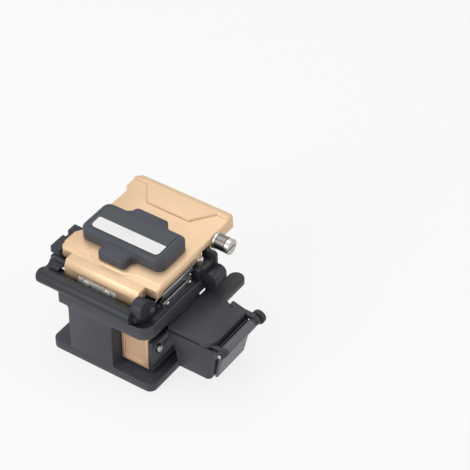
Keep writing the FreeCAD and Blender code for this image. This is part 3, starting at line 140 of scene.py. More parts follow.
# %% Graphs
class Graph:
    """A node tree, and the one method that adds nodes to it."""

    def __init__(self, tree):
        self.tree = tree

    def fill(self, socket, value):
        for part in value if isinstance(value, list) else [value]:
            if isinstance(part, Wire):
                self.tree.links.new(part.socket, socket)
            else:
                socket.default_value = part

    def node(self, kind, settings=None, sockets=None, output=0):
        made = self.tree.nodes.new(kind)
        for name, value in (settings or {}).items():
            setattr(made, name, value)
        for key, value in (sockets or {}).items():
            self.fill(made.inputs[key], value)
        return Wire(self, made.outputs[output])


print("a graph has:", [name for name in vars(Graph) if not name.startswith("_")])

# %% [markdown]
# ## One material under construction
# `Finish` is the graph of one material, with a Principled shader at its end. Object coordinates keep a
# pattern fixed to the piece when a joint moves it, and noise read there runs through the piece as grain
# runs through stone, so no unwrapping is needed.


# %% Finishes
class Finish(Graph):
    """A material with a Principled shader, and the nodes that feed it."""

    def __init__(self, name):
        self.material = bpy.data.materials.new(name)
        self.material.use_nodes = True
        super().__init__(self.material.node_tree)
        self.tree.nodes.clear()
        self.shader = self.tree.nodes.new("ShaderNodeBsdfPrincipled")
        self.output = self.tree.nodes.new("ShaderNodeOutputMaterial")
        self.tree.links.new(self.shader.outputs[0], self.output.inputs["Surface"])

    def place(self):
        """Object coordinates, in metres."""
        return self.node("ShaderNodeTexCoord", output="Object")

    def noise(self, scale, detail=3.0, stretch=(1, 1, 1)):
        """Noise from 0 to 1 whose grains are 1 / scale metres long."""
        spot = self.node("ShaderNodeMapping", {}, {"Vector": self.place(), "Scale": stretch})
        return self.node("ShaderNodeTexNoise", {}, {"Vector": spot, "Scale": scale, "Detail": detail})

    def blend(self, mask, first, second):
        """Mix of two colours by a mask; sockets 6 and 7 are the colours, and output 2 is their mix."""
        sockets = {"Factor": mask, 6: first, 7: second}
        return self.node("ShaderNodeMix", {"data_type": "RGBA"}, sockets, output=2)

    def bump(self, height, strength, distance):
        sockets = {"Height": height, "Strength": strength, "Distance": distance}
        return self.node("ShaderNodeBump", {}, sockets)

    def set(self, **sockets):
        """Fill the shader's sockets by name: base_color stands for Base Color, and so on."""
        for name, value in sockets.items():
            self.fill(self.shader.inputs[name.replace("_", " ").title().replace("Ior", "IOR")], value)
        return self.material


def shade(colour, factor):
    """A colour made lighter or darker, with full opacity."""
    return (*(min(1.0, part * factor) for part in colour), 1.0)


FINISHES = {}
SMOOTHEST, ROUGHEST = 0.05, 1.0
print("shader helpers ready")

# %% [markdown]
# ## Painted and coated metal
# The casting is sprayed in a satin blue-grey. Spray paint is never quite even: its roughness drifts over
# centimetres, and close to it shows orange peel, small waves under a millimetre. The holder, hinge bar and
# bracket carry a finer black coat. One function makes them all from a colour, a grain and a roughness.

# %% Coats of paint
SOFT_GLOSS = 0.3


def coated(name, colour, roughness, grain, depth):
    """Sprayed coat with slow drift in tone and fine waves in its surface."""
    finish = Finish(name)
    drift = finish.noise(90, 2.0)
    peel = finish.noise(grain, 2.0)
    dust = finish.noise(grain * 4, 1.0)
    tone = finish.blend(drift, shade(colour, 0.86), shade(colour, 1.16))
    return finish.set(
        base_color=tone,
        roughness=(roughness + drift * 0.12 - 0.06 + dust * 0.05).limited(SMOOTHEST, ROUGHEST),
        normal=finish.bump(peel + dust * 0.3, 0.35, depth),
        specular_ior_level=SOFT_GLOSS,
    )


COATS = {
    "dark_casting": {"colour": (0.052, 0.056, 0.070), "roughness": 0.42, "grain": 1400, "depth": 0.00003},
    "black_coat": {"colour": (0.026, 0.029, 0.036), "roughness": 0.38, "grain": 2200, "depth": 0.00003},
}
for name, recipe in COATS.items():
    FINISHES[name] = coated(name, **recipe)
print("coats:", sorted(COATS))

# %% [markdown]
# ## Anodised aluminium
# The lid and the push block are blasted with fine glass beads and then anodised champagne gold, so they
# glow softly and mirror nothing sharply. Anodising is a thin clear layer on bright metal: a partly metallic
# surface with a rather high roughness and a grain too fine to see one by one does that. The same recipe in
# black and clear serves the side plate and the clamp jaws, and in near-white the tongue's cover plate.


# %% Anodised finishes
def anodised(name, colour, roughness, metallic, lines=0.0):
    """Bead-blasted anodising, or a brushed one as far as lines goes up to one."""
    finish = Finish(name)
    cloud = finish.noise(60, 2.0)
    beads = finish.noise(5200, 2.0)
    brushed = finish.noise(900, 2.0, stretch=(0.06, 1, 1))
    tone = finish.blend(cloud, shade(colour, 0.95), shade(colour, 1.05))
    height = beads * (1 - lines) + brushed * lines
    return finish.set(
        base_color=tone,
        metallic=metallic,
        roughness=(roughness + beads * 0.08 + cloud * 0.06 - 0.07).limited(SMOOTHEST, ROUGHEST),
        normal=finish.bump(height, 0.25, 0.00002),
    )


ANODISING = {
    "champagne": {"colour": (0.73, 0.515, 0.325), "roughness": 0.44, "metallic": 0.55},
    "gold_alloy": {"colour": (0.67, 0.45, 0.29), "roughness": 0.46, "metallic": 0.50},
    "grey_alloy": {"colour": (0.42, 0.43, 0.45), "roughness": 0.34, "metallic": 0.9, "lines": 0.7},
    "black_alloy": {"colour": (0.034, 0.037, 0.046), "roughness": 0.36, "metallic": 0.2, "lines": 0.4},
    "cover_nickel": {"colour": (0.88, 0.87, 0.85), "roughness": 0.42, "metallic": 0.25},
}
for name, recipe in ANODISING.items():
    FINISHES[name] = anodised(name, **recipe)
print("anodised:", sorted(ANODISING))

# %% [markdown]
# ## Moulded plastic
# The thumb pad and the waste bin come out of spark-eroded moulds, which leave an even, fine leather-like
# grain. Handling polishes the plastic a little here and there, so its roughness wanders slowly. A Voronoi
# pattern gives pits of one size, where noise alone would look like sand.


# %% Plastics
def moulded(name, colour, roughness, grain, depth):
    """Plastic with a spark-eroded grain."""
    finish = Finish(name)
    pits = finish.node("ShaderNodeTexVoronoi", {}, {"Vector": finish.place(), "Scale": grain})
    wear = finish.noise(140, 3.0)
    tone = finish.blend(wear, shade(colour, 0.92), shade(colour, 1.1))
    return finish.set(
        base_color=tone,
        roughness=(roughness + wear * 0.16 - 0.08).limited(SMOOTHEST, ROUGHEST),
        normal=finish.bump(pits, 0.3, depth),
        specular_ior_level=SOFT_GLOSS,
    )


PLASTICS = {
    "pad_plastic": {"colour": (0.062, 0.068, 0.084), "roughness": 0.46, "grain": 2600, "depth": 0.00003},
    "bin_plastic": {"colour": (0.046, 0.048, 0.056), "roughness": 0.42, "grain": 2000, "depth": 0.00003},
    "door_plastic": {"colour": (0.13, 0.13, 0.15), "roughness": 0.42, "grain": 2000, "depth": 0.00003},
    "rubber": {"colour": (0.016, 0.016, 0.016), "roughness": 0.75, "grain": 1500, "depth": 0.00004},
    "label_film": {"colour": (0.070, 0.076, 0.092), "roughness": 0.34, "grain": 5000, "depth": 0.00001},
    "label_white": {"colour": (0.95, 0.95, 0.94), "roughness": 0.38, "grain": 5000, "depth": 0.00001},
}
for name, recipe in PLASTICS.items():
    FINISHES[name] = moulded(name, **recipe)
print("plastics:", sorted(PLASTICS))

# %% [markdown]
# ## Turned and plated metal
# Pins and screws are turned, which leaves fine rings; the peg is nickel plated and nearly mirror bright.
# Both are fully metallic, so what they show is the room: small smudges in the roughness keep them from
# looking like computer chrome.


# %% Bright metals
def bright(name, colour, roughness, smudge):
    """Polished or plated metal with faint handling marks."""
    finish = Finish(name)
    marks = finish.noise(700, 4.0)
    hairs = finish.noise(2500, 2.0, stretch=(0.15, 1, 1))
    return finish.set(
        base_color=finish.blend(marks, shade(colour, 0.92), shade(colour, 1.05)),
        metallic=1.0,
        roughness=(roughness + marks * smudge + hairs * smudge * 0.5).limited(0.04, ROUGHEST),
        normal=finish.bump(hairs, 0.12, 0.00001),
    )


METALS = {
    "nickel": {"colour": (0.50, 0.48, 0.45), "roughness": 0.20, "smudge": 0.16},
    "dark_nickel": {"colour": (0.20, 0.19, 0.18), "roughness": 0.22, "smudge": 0.12},
    "steel": {"colour": (0.55, 0.55, 0.56), "roughness": 0.20, "smudge": 0.18},
    "carbide": {"colour": (0.42, 0.43, 0.46), "roughness": 0.16, "smudge": 0.12},
}
for name, recipe in METALS.items():
    FINISHES[name] = bright(name, **recipe)
print("finishes in all:", len(FINISHES))

# %% [markdown]
# ## Pieces and where they belong
# A piece is an ordinary mesh object at the origin, unturned and unscaled. It then rides on one of the moving
# bodies and takes the finish named after its material slot in the record, or another finish where one is
# given, and the CAD nodes it stands in for are hidden. `applied` asks the dependency graph for the mesh as
# the modifiers leave it, so that what is kept is plain geometry.

# %% Helpers for pieces
SLOT_OF = {entry["node"]: entry["material_slot"] for entry in frame["record"]["subparts"]}
BODY_OF = {node: body for body, nodes in frame["record"]["behaviour"]["bodies"].items() for node in nodes}
SHARP, SMOOTH_BELOW = math.radians(28), math.radians(35)


def corner(node):
    """Lowest and highest corner of a CAD node, in millimetres."""
    return tuple(tuple(value / MM for value in point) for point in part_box(node))


def joint_place(joint_name):
    """A point on a joint's axis, in millimetres, as the record gives it."""
    joints = {joint["name"]: joint for joint in frame["record"]["behaviour"]["joints"]}
    return tuple(value / MM for value in joints[joint_name]["pos_m"])


def temporary(name, mesh):
    """An object in the scene that only lives until its modifiers are applied."""
    piece = bpy.data.objects.new(name + "_temporary", mesh)
    bpy.context.scene.collection.objects.link(piece)
    return piece


def applied(piece):
    """The mesh of a temporary object with its modifiers in it; the object itself goes."""
    graph = bpy.context.evaluated_depsgraph_get()
    mesh = bpy.data.meshes.new_from_object(piece.evaluated_get(graph))
    bpy.data.objects.remove(piece)
    return mesh


def round_edges(piece, width, segments=2):
    """Bevel modifier on the sharp edges, with its width in millimetres."""
    bevel = piece.modifiers.new("edges", "BEVEL")
    bevel.width, bevel.segments = width * MM, segments
    bevel.limit_method, bevel.angle_limit = "ANGLE", SHARP
    return bevel


def cut_away(piece, tool):
    """Boolean modifier that takes one solid out of another."""
    cut = piece.modifiers.new("cut", "BOOLEAN")
    cut.operation, cut.object, cut.solver = "DIFFERENCE", tool, "EXACT"


def smoothed(mesh):
    """Shade a mesh smoothly wherever its faces meet at less than 35 degrees."""
    for face in mesh.polygons:
        face.use_smooth = True
    mesh.set_sharp_from_angle(angle=SMOOTH_BELOW)
    return mesh


def shown(name, mesh, body, slot, *nodes, finish=None):
    """Put a finished mesh on its body, with its finish, in place of the CAD nodes it stands for."""
    piece = bpy.data.objects.new(name, mesh)
    bpy.context.scene.collection.objects.link(piece)
    mesh.materials.clear()
    mesh.materials.append(FINISHES[finish or slot])
    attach(piece, body)
    if nodes:
        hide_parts(*nodes)
    return piece


print("nodes with a slot:", len(SLOT_OF), "and with a body:", len(BODY_OF))

# %% [markdown]
# ## Breaking the edges
# No edge on a real part is sharp: it is deburred, cast round or moulded round, and that thin band is what
# catches the light and draws the shape. The CAD meshes are loose triangles with ideal edges. Each is
# copied, its doubled points are merged and its flat faces joined again, and a Bevel modifier rounds
# what is left by a fraction of a millimetre. The CAD node itself stays untouched behind its copy.

# %% Edge breaker
MERGE_WITHIN, FLAT_WITHIN = 0.002, math.radians(0.6)
OTHER_FINISH = {"bin_pin": "black_coat", "peg_collar": "dark_nickel"}


def merged_copy(node):
    """The node's mesh with doubles merged and flat faces joined."""
    mesh = bpy.data.meshes.new(node + "_dressed")
    made = bmesh.new()
    made.from_mesh(frame["nodes"][node].data)
    bmesh.ops.remove_doubles(made, verts=made.verts, dist=MERGE_WITHIN * MM)
    bmesh.ops.dissolve_limit(made, angle_limit=FLAT_WITHIN, verts=made.verts, edges=made.edges)
    made.to_mesh(mesh)
    made.free()
    return mesh


def broken_edges(node, width, without=None):
    """A copy of a CAD node, less one solid where that is given, with every sharp edge rounded."""
    piece = temporary(node, merged_copy(node))
    if without:
        cut_away(piece, without)
    bevel = round_edges(piece, width)
    bevel.use_clamp_overlap = False
    bevel.miter_outer = "MITER_ARC"
    mesh = smoothed(applied(piece))
    mesh.name = node + "_mesh"
    finish = OTHER_FINISH.get(node)
    return shown(node + "_finished", mesh, BODY_OF[node], SLOT_OF[node], node, finish=finish)


EDGES = {
    "base_casting": 0.35, "hinge_yoke": 0.3, "lid_plate": 0.12, "press_pad": 0.25,
    "push_block": 0.25, "side_plate": 0.2, "carriage_body": 0.25, "slider_block": 0.2, "guide_rail": 0.12,
    "fibre_holder": 0.25, "holder_lever": 0.3, "lid_guide_bracket": 0.3, "catch_post": 0.2,
    "lower_jaw_left": 0.15, "lower_jaw_right": 0.15, "upper_clamp_frame": 0.15,
    "bin_shell": 0.25, "bin_door": 0.25, "bin_pin": 0.3,
}
for node, width in EDGES.items():
    dressed = broken_edges(node, width)
    print(f"{node}: {len(dressed.data.polygons)} faces, edges broken by {width} mm")

# %% [markdown]
# ## Screw heads from Geometry Nodes
# Screws repeat, so one Geometry Nodes tree makes them all. Points say where they sit, and the tree stands a
# head on each: a cylinder cut by a cone gives the chamfered rim, and a six-sided bar is taken out of its
# middle. The cylinder is twice the height that is asked for, and part of it may sink into the piece. The
# pocket is centred on the cylinder's middle, so it would open at the top only if it were asked as deep as
# the head is high. With the sizes used here it stays closed inside, and the heads show plain tops. The
# result is realised and kept as a plain mesh, because an export drops instances.

# %% The tree of screw heads
ROUND_SIDES, SOCKET_SIDES = 40, 6


def head_shape(graph, given):
    """One chamfered head that stands on the origin and looks up."""
    radius, height, rim = given["Head Radius"], given["Head Height"], given["Rim Chamfer"]
    double, top = height * 2.0, radius - rim

    def raised_bar(sides, bar_radius, depth):
        sizes = {"Vertices": sides, "Radius": bar_radius, "Depth": depth}
        bar = graph.node("GeometryNodeMeshCylinder", {}, sizes)
        offset = graph.node("ShaderNodeCombineXYZ", {}, {"Z": height})
        return graph.node("GeometryNodeTransform", {}, {"Geometry": bar, "Translation": offset})

    stock = raised_bar(ROUND_SIDES, radius, double)
    cone = graph.node("GeometryNodeMeshCone", {}, {
        "Vertices": ROUND_SIDES, "Radius Top": top, "Radius Bottom": top + double, "Depth": double})
    turned = graph.node("GeometryNodeMeshBoolean", {"operation": "INTERSECT", "solver": "EXACT"},
                        {"Mesh 2": [stock, cone]})
    hexagon = raised_bar(SOCKET_SIDES, given["Socket Radius"], given["Socket Depth"] * 2.0)
    return graph.node("GeometryNodeMeshBoolean", {"operation": "DIFFERENCE", "solver": "EXACT"},
                      {"Mesh 1": turned, "Mesh 2": hexagon})


def screw_head_tree():
    """Geometry Nodes tree that stands one head on each point, looking along an axis."""
    tree = bpy.data.node_groups.new("screw_heads", "GeometryNodeTree")
    interface = tree.interface
    interface.new_socket("Points", in_out="INPUT", socket_type="NodeSocketGeometry")
    for name in ("Head Radius", "Head Height", "Rim Chamfer", "Socket Radius", "Socket Depth"):
        interface.new_socket(name, in_out="INPUT", socket_type="NodeSocketFloat")
    interface.new_socket("Axis", in_out="INPUT", socket_type="NodeSocketVector")
    interface.new_socket("Material", in_out="INPUT", socket_type="NodeSocketMaterial")
    interface.new_socket("Heads", in_out="OUTPUT", socket_type="NodeSocketGeometry")
    graph = Graph(tree)
    given = {socket.name: Wire(graph, socket) for socket in tree.nodes.new("NodeGroupInput").outputs}
    aim = graph.node("FunctionNodeAlignRotationToVector", {"axis": "Z"}, {"Vector": given["Axis"]})
    stand = graph.node("GeometryNodeInstanceOnPoints", {}, {
        "Points": given["Points"], "Instance": head_shape(graph, given), "Rotation": aim})
    real = graph.node("GeometryNodeRealizeInstances", {}, {"Geometry": stand})
    painted = graph.node("GeometryNodeSetMaterial", {}, {"Geometry": real, "Material": given["Material"]})
    graph.fill(tree.nodes.new("NodeGroupOutput").inputs["Heads"], painted)
    return tree


HEADS = screw_head_tree()
INPUT_OF = {item.name: item.identifier for item in HEADS.interface.items_tree if item.in_out == "INPUT"}
print("inputs:", sorted(INPUT_OF))

# %% [markdown]
# ## Standing the heads on a piece
# The modifier's inputs are set by their identifiers, because the names are only labels. A named tuple keeps
# the five sizes of one kind of head together, in millimetres.

# %% Screw heads on a body
Head = namedtuple("Head", "radius height chamfer socket depth")
SIZE_INPUTS = ("Head Radius", "Head Height", "Rim Chamfer", "Socket Radius", "Socket Depth")


def screw_heads(name, body, slot, axis, spots, head, finish=None):
    """Heads of one kind on a body, at spots in millimetres, as one plain mesh."""
    cloud = bpy.data.meshes.new(name + "_points")
    cloud.from_pydata([[value * MM for value in spot] for spot in spots], [], [])
    piece = temporary(name, cloud)
    modifier = piece.modifiers.new("heads", "NODES")
    modifier.node_group = HEADS
    for label, size in zip(SIZE_INPUTS, head):
        modifier[INPUT_OF[label]] = size * MM
    modifier[INPUT_OF["Axis"]] = axis
    modifier[INPUT_OF["Material"]] = FINISHES[finish or slot]
    mesh = smoothed(applied(piece))
    mesh.name = name + "_mesh"
    print(name, len(spots), "heads,", len(mesh.polygons), "faces")
    return shown(name, mesh, body, slot, finish=finish)


RIGHT, FRONT, UP = (1, 0, 0), (0, -1, 0), (0, 0, 1)
print("sizes of a head:", Head._fields)

# %% [markdown]
# ## Which screws there are
# Two cap screws hold the side plate and one the lid guide. Two low domes sit on the right clamp jaw, and the
# bin's pin ends in a small bright dome. Their places are measured from the CAD nodes that they sit on, and
# the pin's from its joint, so they follow when the solids change.

# %% Heads in their places
PLATE_SCREW = Head(radius=1.75, height=1.3, chamfer=0.3, socket=1.0, depth=0.9)
GUIDE_SCREW = Head(radius=2.1, height=1.8, chamfer=0.35, socket=1.15, depth=1.1)
JAW_DOME = Head(radius=1.05, height=0.6, chamfer=0.45, socket=0.05, depth=0.02)
PIN_DOME = Head(radius=0.95, height=0.3, chamfer=0.2, socket=0.05, depth=0.02)
PLATE_SCREW_SUNK, PLATE_SCREW_LIFT = 1.26, 12.4
PLATE_SCREW_SETBACKS = (4.8, 22.8)
GUIDE_SCREW_IN, GUIDE_SCREW_BACK, GUIDE_SCREW_DOWN = 2.35, 4.8, 4.7
JAW_DOME_FROM_FRONT, JAW_DOME_FROM_BACK, JAW_DOME_LIFT = 2.3, 3.3, 1.7
PIN_DOME_SUNK = 0.1

SIDE, PUSH, JAW = corner("side_plate"), corner("push_block"), corner("lower_jaw_right")
GUIDE, BIN_PIN = corner("lid_guide_bracket"), corner("bin_pin")
PIN_X, _, PIN_Z = joint_place("bin_cover_hinge")
screw_heads("side_plate_heads", "carriage", "steel", RIGHT,
            [(SIDE[1][0] - PLATE_SCREW_SUNK, PUSH[0][1] + setback, SIDE[0][2] + PLATE_SCREW_LIFT)
             for setback in PLATE_SCREW_SETBACKS], PLATE_SCREW)
screw_heads("lid_guide_head", "base", "nickel", UP,
            [(GUIDE[0][0] + GUIDE_SCREW_IN, GUIDE[0][1] + GUIDE_SCREW_BACK, GUIDE[1][2] - GUIDE_SCREW_DOWN)],
            GUIDE_SCREW)
screw_heads("jaw_domes", "base", "nickel", RIGHT,
            [(JAW[1][0], y, JAW[0][2] + JAW_DOME_LIFT)
             for y in (JAW[0][1] + JAW_DOME_FROM_FRONT, JAW[1][1] - JAW_DOME_FROM_BACK)], JAW_DOME)
screw_heads("bin_pin_tip", "base", "nickel", FRONT,
            [(PIN_X, BIN_PIN[0][1] + PIN_DOME_SUNK, PIN_Z)], PIN_DOME)

# %% [markdown]
# ## Small solids to build with
# Two kinds of solid serve the rest: a block between two corners, and a prism, which is an outline pushed
# through a depth. A prism takes a function that turns its own three numbers into a place, so the same code
# lays one flat on the label and stands another on its side.


# %% Blocks and prisms
def mesh_from(made, name):
    """Turn a bmesh under work into a mesh."""
    mesh = bpy.data.meshes.new(name)
    made.to_mesh(mesh)
    made.free()
    return mesh


def block(name, low, high):
    """Temporary solid box between two corners in millimetres."""
    made = bmesh.new()
    bmesh.ops.create_cube(made, size=1.0)
    for vert in made.verts:
        vert.co = Vector([(low[i] + (vert.co[i] + 0.5) * (high[i] - low[i])) * MM for i in range(3)])
    return temporary(name, mesh_from(made, name))


def prism(name, outline, depth, place):
    """Solid with an outline of pairs pushed through a depth; place turns (u, v, w) into a point."""
    made = bmesh.new()
    near = [made.verts.new([value * MM for value in place(u, v, 0.0)]) for u, v in outline]
    far = [made.verts.new([value * MM for value in place(u, v, depth)]) for u, v in outline]
    made.faces.new(near)
    made.faces.new(list(reversed(far)))
    for i in range(len(outline)):
        after = (i + 1) % len(outline)
        made.faces.new((near[i], far[i], far[after], near[after]))
    bmesh.ops.recalc_face_normals(made, faces=made.faces)
    return mesh_from(made, name + "_mesh")


def arc(centre, radius, start, end, steps):
    """Points on a circle between two angles in degrees."""
    angles = [math.radians(start + (end - start) * step / steps) for step in range(steps + 1)]
    return [(centre[0] + radius * math.cos(angle), centre[1] + radius * math.sin(angle)) for angle in angles]


print("a quarter circle:", [tuple(round(v, 2) for v in point) for point in arc((0, 0), 1, 0, 90, 2)])

# %% [markdown]
# ## The cover plate on the tongue
# A small bright plate closes the tongue's front. Its screws sit in round holes a little wider than their
# heads, and the thin shadow in that gap draws a dark ring round each. The gap has to be real for that, so
# the plate is a solid with two cylinders taken away, and the heads are turned in the same tree as the rest.

# %% Plate with two holes
COVER = corner("hinge_cover_plate")
COVER_SCREW = Head(radius=1.95, height=0.65, chamfer=0.2, socket=0.55, depth=0.3)
RIM_GAP, HOLE_RADIUS, HOLE_DEEP, COVER_EDGE, COVER_SCREW_SUNK = 0.35, 2.45, 4.0, 0.12, 0.75
COVER_SCREW_ALONG, COVER_SCREW_LIFT = (5.2, 16.8), 2.7
COVER_SCREWS = [(COVER[0][0] + along, COVER[0][1], COVER[0][2] + COVER_SCREW_LIFT)
                for along in COVER_SCREW_ALONG]


def drill(name, spot, radius, length):
    """Temporary cylinder along Y, centred on a spot in millimetres, to take away."""
    made = bmesh.new()
    turned = Matrix.Translation([value * MM for value in spot]) @ Matrix.Rotation(math.pi / 2, 4, "X")
    bmesh.ops.create_cone(made, cap_ends=True, segments=ROUND_SIDES, radius1=radius * MM,
                          radius2=radius * MM, depth=length * MM, matrix=turned)
    return temporary(name, mesh_from(made, name))


plate = block("cover", (COVER[0][0] + RIM_GAP, COVER[0][1], COVER[0][2] + RIM_GAP),
              (COVER[1][0] - RIM_GAP, COVER[1][1], COVER[1][2] - RIM_GAP))
drills = [drill(f"drill_{i}", spot, HOLE_RADIUS, HOLE_DEEP) for i, spot in enumerate(COVER_SCREWS)]
for tool in drills:
    cut_away(plate, tool)
round_edges(plate, COVER_EDGE)
cover_mesh = smoothed(applied(plate))
for tool in drills:
    bpy.data.objects.remove(tool)
shown("cover_plate_drilled", cover_mesh, "lid", "nickel", "hinge_cover_plate", finish="cover_nickel")
screw_heads("cover_plate_heads", "lid", "nickel", FRONT,
            [(x, y + COVER_SCREW_SUNK, z) for x, y, z in COVER_SCREWS], COVER_SCREW, finish="cover_nickel")
print("cover plate:", len(cover_mesh.polygons), "faces")

# %% [markdown]
# ## The white band on the label
# The pad's label is a dark film with a plain white band along its front. A near-black sheet before the band
# and beside its right end is painted shade: it stands for the shaded edges and the shadow of the raised
# label plate. Each is a thin sheet, and each stands a little prouder than the one below, so that two
# surfaces never fight over the same depth. A rectangle with four corner radii is walked once round, a
# quarter circle at a time.

# %% Label band
FILM = corner("pad_label")
BAND_FRONT, BAND_BACK, BAND_LEFT, BAND_RIGHT = 0.8, 8.2, 1.6, 2.0
# The line's radii, width, setback and level size the near-black sheet of painted shade.
BAND_RADII, SHADE_LINE_RADII, FIELD_RADII = (2.4, 2.0, 0.1, 0.9), (2.4, 2.0, 0.1, 0.1), (0.1, 0.1, 0.1, 0.1)
SHADE_LINE_WIDE, SHADE_LINE_BACK, FIELD_LEFT, FIELD_BACK = 0.45, 0.6, 0.9, 0.15
SHADE_LINE_LEVEL, BAND_LEVEL, SHEET_THICK = 0.015, 0.03, 0.06


def rounded_outline(low, high, radii):
    """Rectangle with its own radius at each corner, counterclockwise from the front left."""
    centres = [(low[0] + radii[0], low[1] + radii[0]), (high[0] - radii[1], low[1] + radii[1]),
               (high[0] - radii[2], high[1] - radii[2]), (low[0] + radii[3], high[1] - radii[3])]
    outline = []
    for centre, start, radius in zip(centres, (180, 270, 0, 90), radii):
        outline += arc(centre, radius, start, start + 90, 8)
    return outline


def sheet(name, low, high, radii, rise, finish):
    """Thin sheet that stands a little above the film."""
    level = FILM[1][2] + rise
    mesh = prism(name, rounded_outline(low, high, radii), SHEET_THICK, lambda u, v, w: (u, v, level - w))
    return shown(name, mesh, "lid", "label_film", finish=finish)


band_low = (FILM[0][0] + BAND_LEFT, FILM[0][1] + BAND_FRONT)
band_high = (FILM[1][0] - BAND_RIGHT, FILM[0][1] + BAND_BACK)
sheet("label_band", band_low, band_high, BAND_RADII, BAND_LEVEL, "label_white")
# Painted shade: a near-black sheet under the band's front and right edges, where the raised label plate
# throws shade.
sheet("label_painted_shade", (band_low[0], band_low[1] - SHADE_LINE_WIDE),
      (band_high[0] + SHADE_LINE_WIDE, FILM[1][1] - SHADE_LINE_BACK), SHADE_LINE_RADII, SHADE_LINE_LEVEL, "rubber")
sheet("label_field", (FILM[0][0] + FIELD_LEFT, band_high[1]), (band_high[0], FILM[1][1] - FIELD_BACK),
      FIELD_RADII, BAND_LEVEL, "label_film")
print("label band:", round(band_high[0] - band_low[0], 1), "x", round(band_high[1] - band_low[1], 1), "mm")

# %% [markdown]
# ## The tall ear
# The right ear of the hinge is a round lug that stands higher than the bar. Its side view is the hull of
# two circles: the lug itself, and the boss on the hinge pin behind it. The lid's wall turns about the pin,
# and both circles stay inside the space it leaves free, so the hull does too. All its places are measured
# from the hinge's axis, which the record gives with the joint.

# %% Ear
_, HINGE_Y, HINGE_Z = joint_place("lid_hinge")
YOKE = corner("hinge_yoke")
EAR_INSET, EAR_WIDE, EAR_PROUD, EAR_EDGE = 0.5, 5.6, 0.04, 0.35
LUG, BOSS = (HINGE_Y - 4.3, HINGE_Z + 2.8, 4.6), (HINGE_Y, HINGE_Z, 2.7)
RING_Y, RING_Z = HINGE_Y - 3.5, HINGE_Z + 2.7
RING_RADIUS, RING_PROUD, RING_EDGE = 2.9, 0.45, 0.15
PLUG_RADIUS, PLUG_PROUD, PLUG_EDGE = 2.0, 0.5, 0.05


def hull_of_circles(circles, steps=48):
    """Convex outline round circles given as (y, z, radius), found by walking a turning direction."""
    outline = []
    for step in range(steps):
        angle = 2 * math.pi * step / steps
        reach = [y * math.cos(angle) + z * math.sin(angle) + radius for y, z, radius in circles]
        y, z, radius = circles[reach.index(max(reach))]
        outline.append((y + radius * math.cos(angle), z + radius * math.sin(angle)))
    return outline


def ear_piece(name, circles, left, right, edge, slot):
    """Hull of circles pushed along X, with its edges broken."""
    mesh = prism(name, hull_of_circles(circles), right - left, lambda u, v, w: (left + w, u, v))
    piece = temporary(name, mesh)
    round_edges(piece, edge)
    return shown(name, smoothed(applied(piece)), "base", slot)


ear_right = YOKE[1][0] - EAR_INSET
ear_left = ear_right - EAR_WIDE
ear_piece("hinge_ear", (LUG, BOSS), ear_left - EAR_PROUD, ear_right + EAR_PROUD, EAR_EDGE, "black_coat")
ear_piece("hinge_ear_ring", ((RING_Y, RING_Z, RING_RADIUS),), ear_right, ear_right + RING_PROUD, RING_EDGE,
          "black_coat")
ear_piece("hinge_ear_plug", ((RING_Y, RING_Z, PLUG_RADIUS),), ear_right, ear_right + PLUG_PROUD, PLUG_EDGE,
          "rubber")
print("ear top:", round(LUG[1] + LUG[2], 1), "mm, yoke top:", round(YOKE[1][2], 1), "mm")

# %% [markdown]
# ## The bin's cover and its tab
# The cover is a deep cap with a flat finger tab that runs on from its back edge and ends in a disc. Cap and
# tab are one outline, walked once round and pushed down, so there is no seam between them. The CAD cover
# keeps its hinge knuckles; its own thin arm is cut away with a box before its edges are broken.

# %% Outline of the cap
SHELL, THIN_COVER = corner("bin_shell"), corner("bin_cover")
CAP_LEFT, CAP_FRONT = THIN_COVER[0][0] + 0.05, THIN_COVER[0][1]
CAP_RIGHT, CAP_BACK = THIN_COVER[0][0] + 24.5, SHELL[1][1]
CAP_TOP, CAP_DEEP, CAP_ROUND, CAP_EDGE = SHELL[1][2] - 0.1, 3.35, 5.5, 0.45
TAB_PLACE, TAB_RADIUS = (THIN_COVER[0][0] + 7.4, SHELL[1][1] + 16.6), 4.1
TAB_LEFT, TAB_RIGHT = TAB_PLACE[0] - TAB_RADIUS, TAB_PLACE[0] + TAB_RADIUS
STEP_RUN, STEP_BACK = 4.4, CAP_BACK + 2.2

cap_outline = [(CAP_LEFT, CAP_FRONT)]
cap_outline += arc((CAP_RIGHT - CAP_ROUND, CAP_FRONT + CAP_ROUND), CAP_ROUND, 270, 360, 10)
cap_outline += [(CAP_RIGHT, CAP_BACK), (TAB_RIGHT + STEP_RUN, CAP_BACK), (TAB_RIGHT, STEP_BACK)]
cap_outline += arc(TAB_PLACE, TAB_RADIUS, 0, 180, 24)
cap_outline += [(TAB_LEFT, STEP_BACK), (CAP_LEFT, STEP_BACK)]
print("points round the cap:", len(cap_outline))

# %% [markdown]
# The box that takes the thin arm away starts just before the arm's root, inside what the cap covers, and
# reaches well past its end. Then the cap goes on.

# %% Bin cover
ARM_LOW = (TAB_PLACE[0] - 4.5, CAP_BACK - 4.6, CAP_TOP - 4.7)
ARM_HIGH = (TAB_PLACE[0] + 7.5, CAP_BACK + 26.9, CAP_TOP + 9.3)
arm = block("arm", ARM_LOW, ARM_HIGH)
broken_edges("bin_cover", 0.3, without=arm)
bpy.data.objects.remove(arm)
cap = temporary("cap", prism("bin_cap", cap_outline, CAP_DEEP, lambda u, v, w: (u, v, CAP_TOP - w)))
round_edges(cap, CAP_EDGE, segments=3)
cap_mesh = smoothed(applied(cap))
shown("bin_cap", cap_mesh, "bin_top", "bin_plastic")
print("cap:", len(cap_mesh.polygons), "faces; CAD cover from",
      *(tuple(round(value, 1) for value in point) for point in THIN_COVER))

# %% [markdown]
# ## The flange's foot
# A short foot of the bin's flange shows behind the cover. It stands against the deck's side and carries one
# bright screw.

